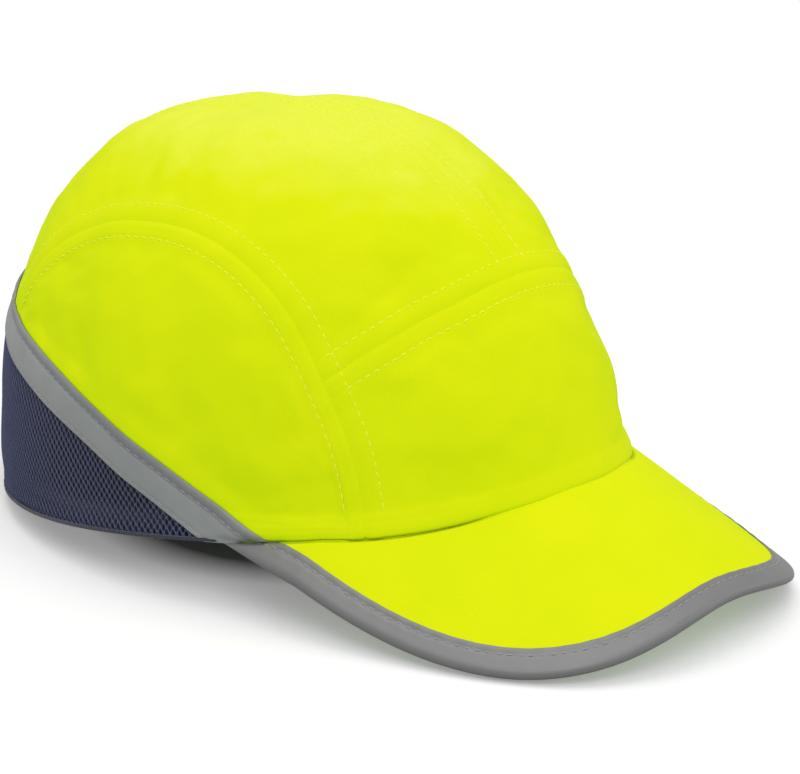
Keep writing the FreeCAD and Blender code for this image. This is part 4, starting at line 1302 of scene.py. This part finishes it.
class Graph:
    """Node tree of one material."""

    def __init__(self, name):
        self.material = bpy.data.materials.new(name)
        self.material.use_nodes = True
        self.tree = self.material.node_tree
        self.tree.nodes.clear()

    def add(self, kind, inputs=None, **settings):
        """Node with settings; inputs are values or sockets, by name or number."""
        node = self.tree.nodes.new("ShaderNode" + kind)
        for name, value in settings.items():
            setattr(node, name, value)
        for name, value in (inputs or {}).items():
            if isinstance(value, bpy.types.NodeSocket):
                self.tree.links.new(value, node.inputs[name])
            elif node.inputs[name].type == "RGBA":
                node.inputs[name].default_value = (*value, 1)
            else:
                node.inputs[name].default_value = value
        return node

    def calc(self, operation, first, second=0.0, third=0.0):
        """Result of an operation on numbers."""
        return self.add("Math", {0: first, 1: second, 2: third}, operation=operation).outputs[0]

    def mix(self, factor, first, second):
        """Colour between two others."""
        return self.add("Mix", {0: factor, 6: first, 7: second}, data_type="RGBA").outputs[2]

    def cloth(self):
        """Cloth coordinates in millimetres, as two numbers."""
        place = self.add("UVMap", uv_map="cloth").outputs[0]
        parts = self.add("SeparateXYZ", {0: place}).outputs
        return parts[0], parts[1]

    def space(self):
        """Place in the object in millimetres."""
        place = self.add("TexCoord").outputs["Object"]
        return self.add("VectorMath", {0: place, 3: 1000.0}, operation="SCALE").outputs[0]

    def noise(self, scale, detail=2.0):
        """Cloudy noise; scale is per millimetre."""
        inputs = {"Vector": self.space(), "Scale": scale, "Detail": detail}
        return self.add("TexNoise", inputs).outputs["Fac"]

    def cells(self, scale):
        """Distance to the nearest of scattered points; scale is per millimetre."""
        return self.add("TexVoronoi", {"Vector": self.space(), "Scale": scale}).outputs["Distance"]

    def wave(self, value, period, start=0.0):
        """Wave between 0 and 1."""
        turned = self.calc("MULTIPLY_ADD", value, 2 * math.pi / period, start)
        return self.calc("MULTIPLY_ADD", self.calc("SINE", turned), 0.5, 0.5)

    def range(self, value, low, high, new_low, new_high):
        """Value moved from one range to another, kept inside it."""
        return self.add("MapRange", {0: value, 1: low, 2: high, 3: new_low, 4: new_high}).outputs[0]

    def finish(self, colour, roughness, height=None, depth=0.1, **extra):
        """Surface from a colour, a roughness and a height of depth millimetres."""
        inputs = {"Base Color": colour, "Roughness": roughness}
        if height is not None:
            bumped = self.add("Bump", {"Height": height, "Distance": depth * MM, "Strength": 1.0})
            inputs["Normal"] = bumped.outputs[0]
        for name, value in extra.items():
            inputs[name.replace("_", " ").title().replace("Ior", "IOR")] = value
        surface = self.add("BsdfPrincipled", inputs)
        output = self.add("OutputMaterial", {0: surface.outputs[0]})
        output.is_active_output = True
        return self.material


def weave(graph, pitch):
    """Plain weave: threads that pass over and under one another."""
    u, v = graph.cloth()
    warp = graph.calc("MULTIPLY", graph.wave(u, pitch), graph.wave(v, 2 * pitch))
    weft_thread = graph.wave(v, pitch, math.pi)
    weft = graph.calc("MULTIPLY", weft_thread, graph.wave(u, 2 * pitch, math.pi))
    return graph.calc("MAXIMUM", warp, weft)


def painted_top_highlight(graph, base, upward, fibre):
    """Painted highlight: paler, whiter cloth near the top of the crown, where it faces up."""
    height_up = graph.add("SeparateXYZ", {0: graph.space()}).outputs[2]
    flat = graph.range(upward, 0.72, 0.98, 0.0, 0.8)
    amount = graph.calc("MULTIPLY", flat, graph.range(fibre, 0.3, 0.7, 0.3, 1.0))
    amount = graph.calc("MULTIPLY", amount, graph.range(height_up, 85.0, 105.0, 0.0, 1.0))
    # Painted highlight: cloth that faces up near the top turns pale cream.
    return graph.mix(amount, base, (0.80, 0.60, 0.12))


def painted_light_share(graph, facing, upward):
    """Share of painted light: 1 on cloth that faces away from the cap and not down, less elsewhere."""
    place = graph.add("VectorMath", {0: graph.space()}, operation="NORMALIZE").outputs[0]
    dot = graph.add("VectorMath", {0: facing, 1: place}, operation="DOT_PRODUCT")
    outward = graph.range(dot.outputs["Value"], 0.0, 0.3, 0.5, 1.0)
    return graph.calc("MULTIPLY", outward, graph.range(upward, -0.5, -0.1, 0.5, 1.0))


def hi_vis_cloth():
    """Fluorescent yellow polyester with a fine weave; its glow is painted light, strongest on
    outward-facing, open cloth.
    """
    graph = Graph("hi_vis_cloth")
    threads = weave(graph, 0.45)
    cloud = graph.noise(0.035, 3.0)
    fibre = graph.noise(1.4, 3.0)
    clouds = graph.range(cloud, 0.3, 0.7, 0.0, 1.0)
    base = graph.mix(clouds, (0.72, 0.535, 0.003), (0.79, 0.55, 0.004))
    # Painted shade: the cloth is darker in the gaps between threads.
    base = graph.mix(graph.range(threads, 0.0, 0.8, 0.12, 0.0), base, (0.44, 0.36, 0.001))
    facing = graph.add("NewGeometry").outputs["Normal"]
    upward = graph.add("SeparateXYZ", {0: facing}).outputs[2]
    # Painted highlight on the top of the crown.
    base = painted_top_highlight(graph, base, upward, fibre)
    lit = painted_light_share(graph, facing, upward)
    # Painted shade: where that share is low, inside the cap and on downward faces, the cloth takes a
    # greener, darker colour.
    base = graph.mix(lit, (0.50, 0.60, 0.002), base)
    # Painted shade: creases and hollows within 3 mm turn dark olive and lose the glow.
    near = graph.add("AmbientOcclusion", {"Distance": 3.0 * MM}, samples=3).outputs["AO"]
    open_share = graph.range(near, 0.15, 0.6, 0.0, 1.0)
    base = graph.mix(open_share, (0.16, 0.19, 0.001), base)
    # Painted glow: a fixed green emission on outward-facing, open cloth, standing in for light.
    glow = graph.calc("MULTIPLY", graph.calc("MULTIPLY", lit, open_share), 0.37)
    height = graph.calc("MULTIPLY_ADD", fibre, 0.5, threads)
    return graph.finish(base, 0.8, height, 0.02, specular_ior_level=0.06,
                        emission_color=(0.25, 1.0, 0.0), emission_strength=glow)


def thread(name, colour, glow=0.0):
    """Twisted sewing thread; glow adds a painted glow, used a little on the yellow thread."""
    graph = Graph(name)
    twist = graph.noise(2.2, 2.0)
    shade = tuple(0.72 * part for part in colour)
    return graph.finish(graph.mix(twist, shade, colour), 0.55, twist, 0.05, specular_ior_level=0.2,
                        emission_color=colour, emission_strength=glow)


def navy_mesh():
    """Navy polyester yarn of the mesh."""
    graph = Graph("navy_mesh")
    yarn = graph.noise(2.6, 3.0)
    cloud = graph.noise(0.05, 2.0)
    colour = graph.mix(yarn, (0.038, 0.045, 0.105), (0.105, 0.120, 0.235))
    colour = graph.mix(graph.range(cloud, 0.3, 0.7, 0.0, 0.3), colour, (0.080, 0.094, 0.190))
    return graph.finish(colour, 0.6, yarn, 0.08, sheen_weight=0.4, sheen_tint=(0.55, 0.6, 0.9))


def beaded_tape(name, dark, light, margin=None):
    """Silver tape covered in tiny glass beads; margin is the colour of its upper edge."""
    graph = Graph(name)
    beads = graph.cells(5.0)
    scuff = graph.noise(0.12, 4.0)
    colour = graph.mix(scuff, dark, light)
    if margin:
        across = graph.cloth()[1]
        colour = graph.mix(graph.range(across, 3.0, 3.6, 0.0, 0.42), colour, margin)
    rough = graph.range(scuff, 0.3, 0.7, 0.42, 0.55)
    return graph.finish(colour, rough, beads, 0.03, metallic=0.35, sheen_weight=0.15)


def side_tape_finish():
    """Side tape, darker and more violet along the upper edge."""
    return beaded_tape("reflective_tape", (0.34, 0.365, 0.36), (0.43, 0.455, 0.445), (0.17, 0.165, 0.185))


def peak_tape_finish():
    """Tape on the peak, a darker grey than the side tapes."""
    return beaded_tape("peak_reflective_tape", (0.225, 0.225, 0.228), (0.275, 0.275, 0.275))


def ribbed_tape(name, dark, light, rib):
    """Woven binding or webbing with ribs across it."""
    graph = Graph(name)
    u, v = graph.cloth()
    ribs = graph.wave(u, rib)
    threads = graph.wave(v, rib * 0.6)
    fuzz = graph.noise(1.6, 3.0)
    height = graph.calc("MULTIPLY_ADD", threads, 0.45, ribs)
    height = graph.calc("MULTIPLY_ADD", fuzz, 0.4, height)
    # Darker where ribs and threads sit low: painted shade in the grooves, with random fuzz tone.
    colour = graph.mix(graph.range(height, 0.4, 1.6, 0.0, 1.0), dark, light)
    return graph.finish(colour, 0.68, height, 0.12, sheen_weight=0.35)


def sweatband_cloth():
    """Soft looped cotton of the sweatband."""
    graph = Graph("sweatband_cloth")
    loops = graph.cells(1.15)
    fuzz = graph.noise(0.9, 4.0)
    # Painted shade: darker between the loops, where the pile sits low.
    colour = graph.mix(loops, (0.085, 0.092, 0.125), (0.022, 0.026, 0.045))
    colour = graph.mix(graph.range(fuzz, 0.35, 0.7, 0.0, 0.3), colour, (0.13, 0.14, 0.17))
    height = graph.calc("SUBTRACT", graph.calc("MULTIPLY", fuzz, 0.5), loops)
    return graph.finish(colour, 0.9, height, 0.28, sheen_weight=0.5, sheen_roughness=0.6)


def foam(name, dark, light):
    """Foam with fine open pores."""
    graph = Graph(name)
    pores = graph.cells(1.7)
    fine = graph.noise(2.4, 3.0)
    cloud = graph.noise(0.05, 3.0)
    # Painted shade: darker in the pores.
    colour = graph.mix(graph.range(pores, 0.05, 0.5, 0.0, 1.0), dark, light)
    colour = graph.mix(graph.range(cloud, 0.3, 0.8, 0.0, 0.25), colour, dark)
    height = graph.calc("MULTIPLY_ADD", fine, 0.4, pores)
    return graph.finish(colour, 0.88, height, 0.22)


def moulded_plastic(name, dark, light, grain, rough=0.42):
    """Moulded plastic with a fine spark texture and light scuffs."""
    graph = Graph(name)
    spark = graph.noise(grain, 3.0)
    cloud = graph.noise(0.04, 4.0)
    colour = graph.mix(cloud, dark, light)
    gloss = graph.range(cloud, 0.3, 0.7, rough - 0.08, rough + 0.1)
    return graph.finish(colour, gloss, spark, 0.05, specular_ior_level=0.45)


def fuzzy_pile(name, dark, light):
    """Brushed loop pile or woven hook ground."""
    graph = Graph(name)
    fuzz = graph.noise(1.9, 5.0)
    tuft = graph.cells(1.1)
    height = graph.calc("MULTIPLY_ADD", fuzz, 0.7, tuft)
    # Darker where the pile sits low: painted shade, with random fuzz tone.
    colour = graph.mix(graph.range(height, 0.3, 1.0, 0.0, 1.0), dark, light)
    return graph.finish(colour, 0.9, height, 0.35, sheen_weight=0.5)


def floor_finish():
    """Pale studio floor."""
    graph = Graph("floor")
    cloud = graph.noise(0.004, 2.0)
    colour = graph.mix(cloud, (0.86, 0.86, 0.86), (0.88, 0.88, 0.88))
    far = graph.add("VectorMath", {0: graph.space()}, operation="LENGTH").outputs["Value"]
    seen = graph.add("LightPath").outputs["Is Camera Ray"]
    colour = graph.mix(seen, (0.48, 0.48, 0.48), colour)
    glow = graph.calc("MULTIPLY", graph.range(far, 350.0, 1600.0, 0.26, 0.66), seen)
    glow = graph.calc("MULTIPLY", glow, graph.range(far, 52.0, 70.0, 0.0, 1.0))
    return graph.finish(colour, 0.9, emission_color=(1, 1, 1), emission_strength=glow)


# --- assembly


def use(piece, material, slot, body, *nodes):
    """Gives a piece its material and body and hides the CAD nodes it stands for; slot is not used."""
    piece.data.materials.clear()
    piece.data.materials.append(material)
    if body:
        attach(piece, body)
    if nodes:
        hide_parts(*nodes)
    return piece


def build_crown():
    """Panels, tapes, bindings and peak of the cloth crown."""
    yellow = hi_vis_cloth()
    navy = navy_mesh()
    tape = side_tape_finish()
    navy_binding = ribbed_tape("navy_binding", (0.012, 0.016, 0.035), (0.048, 0.058, 0.105), 0.7)
    pale_tape = ribbed_tape("seam_tape", (0.020, 0.022, 0.032), (0.075, 0.08, 0.10), 0.8)
    use(front_panel(), yellow, "hi_vis_cloth", "cap", "front_panel")
    grey_thread = thread("grey_thread", (0.50, 0.50, 0.51))
    # Painted glow: the yellow thread glows a little, like the cloth.
    yellow_thread = thread("yellow_thread", (0.90, 0.91, 0.06), 0.24)
    navy_thread = thread("navy_thread", (0.06, 0.07, 0.12))
    for side, label in SIDES:
        use(top_panel(side, label), yellow, "hi_vis_cloth", "cap", "top_panel_" + label)
        use(side_panel(side, label), yellow, "hi_vis_cloth", "cap", "side_panel_" + label)
        use(mesh_panel(side, label), navy, "navy_mesh", "cap", "mesh_panel_" + label)
        use(side_tape(side, label), tape, "reflective_tape", "cap", "reflective_tape_" + label)
        use(tape_stitches(side, label), grey_thread, "reflective_tape", "cap")
    use(crown_stitches(), yellow_thread, "hi_vis_cloth", "cap")
    use(arch_binding(), navy_binding, "navy_binding", "cap", "arch_binding")
    use(arch_stitches(), navy_thread, "navy_binding", "cap")
    use(rim_binding(), navy_binding, "navy_binding", "cap", "rim_binding")
    for node, piece in inside_tapes():
        use(piece, pale_tape, "seam_tape", "cap", node)
    upper = peak_layer("peak_upper_cloth", 0.0, PEAK_COVER)
    use(upper, yellow, "hi_vis_cloth", "cap", "peak_upper_cover")
    plastic = moulded_plastic("peak_plastic", (0.30, 0.30, 0.30), (0.38, 0.38, 0.37), 0.8, 0.5)
    board = peak_layer("peak_board_sheet", 0.75, 2.25, 1.9)
    use(board, plastic, "peak_plastic", "cap", "peak_board")
    lower = peak_layer("peak_lower_cloth", PEAK_THICKNESS, PEAK_THICKNESS - PEAK_COVER)
    use(lower, yellow, "hi_vis_cloth", "cap", "peak_lower_cover")
    use(peak_tape(), peak_tape_finish(), "reflective_tape", "cap", "peak_edge_tape")
    use(peak_stitches(), grey_thread, "reflective_tape", "cap")


def build_inside():
    """Sweatband, brow foam and the pads in the shell."""
    towel = sweatband_cloth()
    band_piece = use(sweatband(), towel, "sweatband_cloth", "cap", "sweatband")
    grey = foam("grey_foam", (0.10, 0.10, 0.105), (0.22, 0.22, 0.23))
    brow = use(brow_foam(), grey, "grey_foam", "cap", "brow_foam")
    for piece in (band_piece, brow):
        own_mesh(piece)
    black_foam = foam("pad_foam", (0.012, 0.012, 0.013), (0.06, 0.06, 0.062))
    for node, piece in pads():
        use(piece, black_foam, "pad_foam", "liner", node)


def build_strap():
    """Strap, patches and ring tab at the back, with their stitches."""
    webbing = ribbed_tape("navy_webbing", (0.010, 0.013, 0.030), (0.050, 0.060, 0.110), 1.3)
    loop_ground = fuzzy_pile("loop_pile", (0.010, 0.012, 0.026), (0.055, 0.062, 0.105))
    hook_ground = fuzzy_pile("hook_tape", (0.008, 0.010, 0.022), (0.035, 0.042, 0.075))
    hook_thread = thread("hook_thread", (0.045, 0.052, 0.09))
    seam_thread = thread("strap_thread", (0.075, 0.085, 0.14))

    base = band("strap_base_webbing", *BASE_LAYER, 43.0, FOLD_ANGLE)
    use(base, webbing, "navy_webbing", "cap", "strap_base")
    pile = band("loop_patch_pile", 77.2, 78.1, LOOP_START, PATCH_END)
    use(pile, loop_ground, "loop_pile", "cap", "loop_patch")
    loops = hooks("loop_patch_loops", 78.05, 1, LOOP_START, PATCH_END, 0.95, 0.42, 1.0, 3)
    use(loops, hook_thread, "loop_pile", "cap")
    ground = band("hook_patch_ground", 79.2, 80.0, TAIL_START, PATCH_END, taper=1.0)
    use(ground, hook_ground, "hook_tape", "strap_end", "hook_patch")
    hook_field = hooks("hook_patch_hooks", 79.25, -1, TAIL_START, PATCH_END, 1.1, 0.5, 0.3, 5)
    use(hook_field, hook_thread, "hook_tape", "strap_end")
    tail = band("strap_tail_webbing", *TAIL_LAYER, TAIL_START, FOLD_ANGLE, taper=1.0)
    use(tail, webbing, "navy_webbing", "strap_end", "strap_tail")

    crossing = fold("strap_fold_webbing", FOLD_ANGLE, 1)
    use(crossing, webbing, "navy_webbing", None, "strap_fold")
    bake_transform(crossing)

    tab = band("ring_tab_inner", *BASE_LAYER, TAB_ANGLE, 137.0)
    use(tab, webbing, "navy_webbing", "cap", "ring_tab")
    use(band("ring_tab_outer", *TAIL_LAYER, TAB_ANGLE, 118.6), webbing, "navy_webbing", "cap")
    use(band("ring_tab_seam", BASE_LAYER[1], TAIL_LAYER[0], 117.2, 118.5), webbing, "navy_webbing", "cap")
    use(fold("ring_tab_fold", TAB_ANGLE, -1), webbing, "navy_webbing", "cap")

    tail_rows = box_rows(81.15, 1, 76.0, SEWN_END)
    use(polar_stitches("strap_tail_stitching", tail_rows), seam_thread, "navy_webbing", "strap_end")
    base_rows = [(81.15, 1, (117.9, 117.9), (STRAP_LOW + 1.5, STRAP_HIGH - 1.5))]
    for ends in ((44.5, 50.0), (130.0, 135.5), (64.5, SEWN_END)):
        base_rows += box_rows(75.95, -1, *ends)
    use(polar_stitches("strap_base_stitching", base_rows), seam_thread, "navy_webbing", "cap")


def finish_hard_parts():
    """Materials for the rigid CAD parts that are shown as they are."""
    shell = moulded_plastic("shell_plastic", (0.014, 0.014, 0.015), (0.024, 0.024, 0.026), 1.1)
    ring = moulded_plastic("ring_plastic", (0.010, 0.010, 0.012), (0.020, 0.020, 0.023), 2.4, 0.35)
    for node, material in (("abs_shell", shell), ("adjuster_ring", ring)):
        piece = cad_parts[node]
        piece.data.materials.clear()
        piece.data.materials.append(material)


# --- studio

VIEW_AZIMUTH, VIEW_ELEVATION, VIEW_ROLL = -0.829, 0.2523, 0.0844
VIEW_DISTANCE = 1100.0
LENS = 154.6
AIM_RIGHT, AIM_UP = 0.0301, 0.0225
FLOOR_HALF = 12.0
CAP_MIDDLE = (0, -0.03, 0.05)
SURROUNDINGS, SEEN_SURROUNDINGS = 0.46, 1.0


def add_camera():
    """Camera at the viewing angle of the cap's three-quarter view from the right front."""
    a, e, roll = VIEW_AZIMUTH, VIEW_ELEVATION, VIEW_ROLL
    back = np.array([math.sin(a) * math.cos(e), -math.cos(a) * math.cos(e), math.sin(e)])
    right = np.array([math.cos(a), math.sin(a), 0.0])
    up = np.cross(back, right)
    turned_right = right * math.cos(roll) - up * math.sin(roll)
    turned_up = right * math.sin(roll) + up * math.cos(roll)
    aim = unit(back - turned_right * AIM_RIGHT - turned_up * AIM_UP)
    level = unit(turned_right - aim * np.dot(turned_right, aim))
    axes = [to_world(axis) / MM for axis in (level, np.cross(aim, level), aim)]
    data = bpy.data.cameras.new("camera")
    data.lens = LENS
    data.sensor_width = 36.0
    data.clip_start, data.clip_end = 0.01, 60.0
    camera = add_object("camera", data)
    turned = np.column_stack([*axes, to_world(back * VIEW_DISTANCE)])
    camera.matrix_world = Matrix([*turned.tolist(), [0, 0, 0, 1]])
    bpy.context.scene.camera = camera


def area_light(name, place, size, power):
    """Soft square light that looks at the middle of the cap."""
    data = bpy.data.lights.new(name, "AREA")
    data.shape = "SQUARE"
    data.size = size
    data.energy = power
    light = add_object(name, data)
    light.location = place
    light.rotation_euler = (Vector(CAP_MIDDLE) - Vector(place)).to_track_quat("-Z", "Y").to_euler()


def add_studio():
    """Pale floor, white surroundings and soft lights."""
    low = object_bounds()[0]
    mesh = bpy.data.meshes.new("floor")
    corners = [(x * FLOOR_HALF, y * FLOOR_HALF, 0) for x, y in ((-1, -1), (1, -1), (1, 1), (-1, 1))]
    mesh.from_pydata(corners, [], [(0, 1, 2, 3)])
    floor = add_object("floor", mesh)
    floor.location = (0, 0, low[2] - 0.0001)
    mesh.materials.append(floor_finish())
    area_light("key", (-0.9, -0.9, 1.3), 1.0, 8.8)
    area_light("top", (0.1, 0.1, 1.6), 1.2, 7.5)
    area_light("fill", (1.2, -1.0, 0.5), 1.2, 3.0)
    area_light("rim", (-0.3, 1.5, 0.9), 1.0, 3.0)
    world = bpy.data.worlds.new("studio")
    world.use_nodes = True
    tree = world.node_tree
    path = tree.nodes.new("ShaderNodeLightPath")
    strength = tree.nodes.new("ShaderNodeMapRange")
    strength.inputs["To Min"].default_value = SURROUNDINGS
    strength.inputs["To Max"].default_value = SEEN_SURROUNDINGS
    tree.links.new(path.outputs["Is Camera Ray"], strength.inputs["Value"])
    tree.links.new(strength.outputs[0], tree.nodes["Background"].inputs["Strength"])
    tree.nodes["Background"].inputs["Color"].default_value = (1, 1, 1, 1)
    bpy.context.scene.world = world
    bpy.context.scene.view_settings.view_transform = "Standard"


build_crown()
build_inside()
build_strap()
finish_hard_parts()
add_camera()
add_studio()
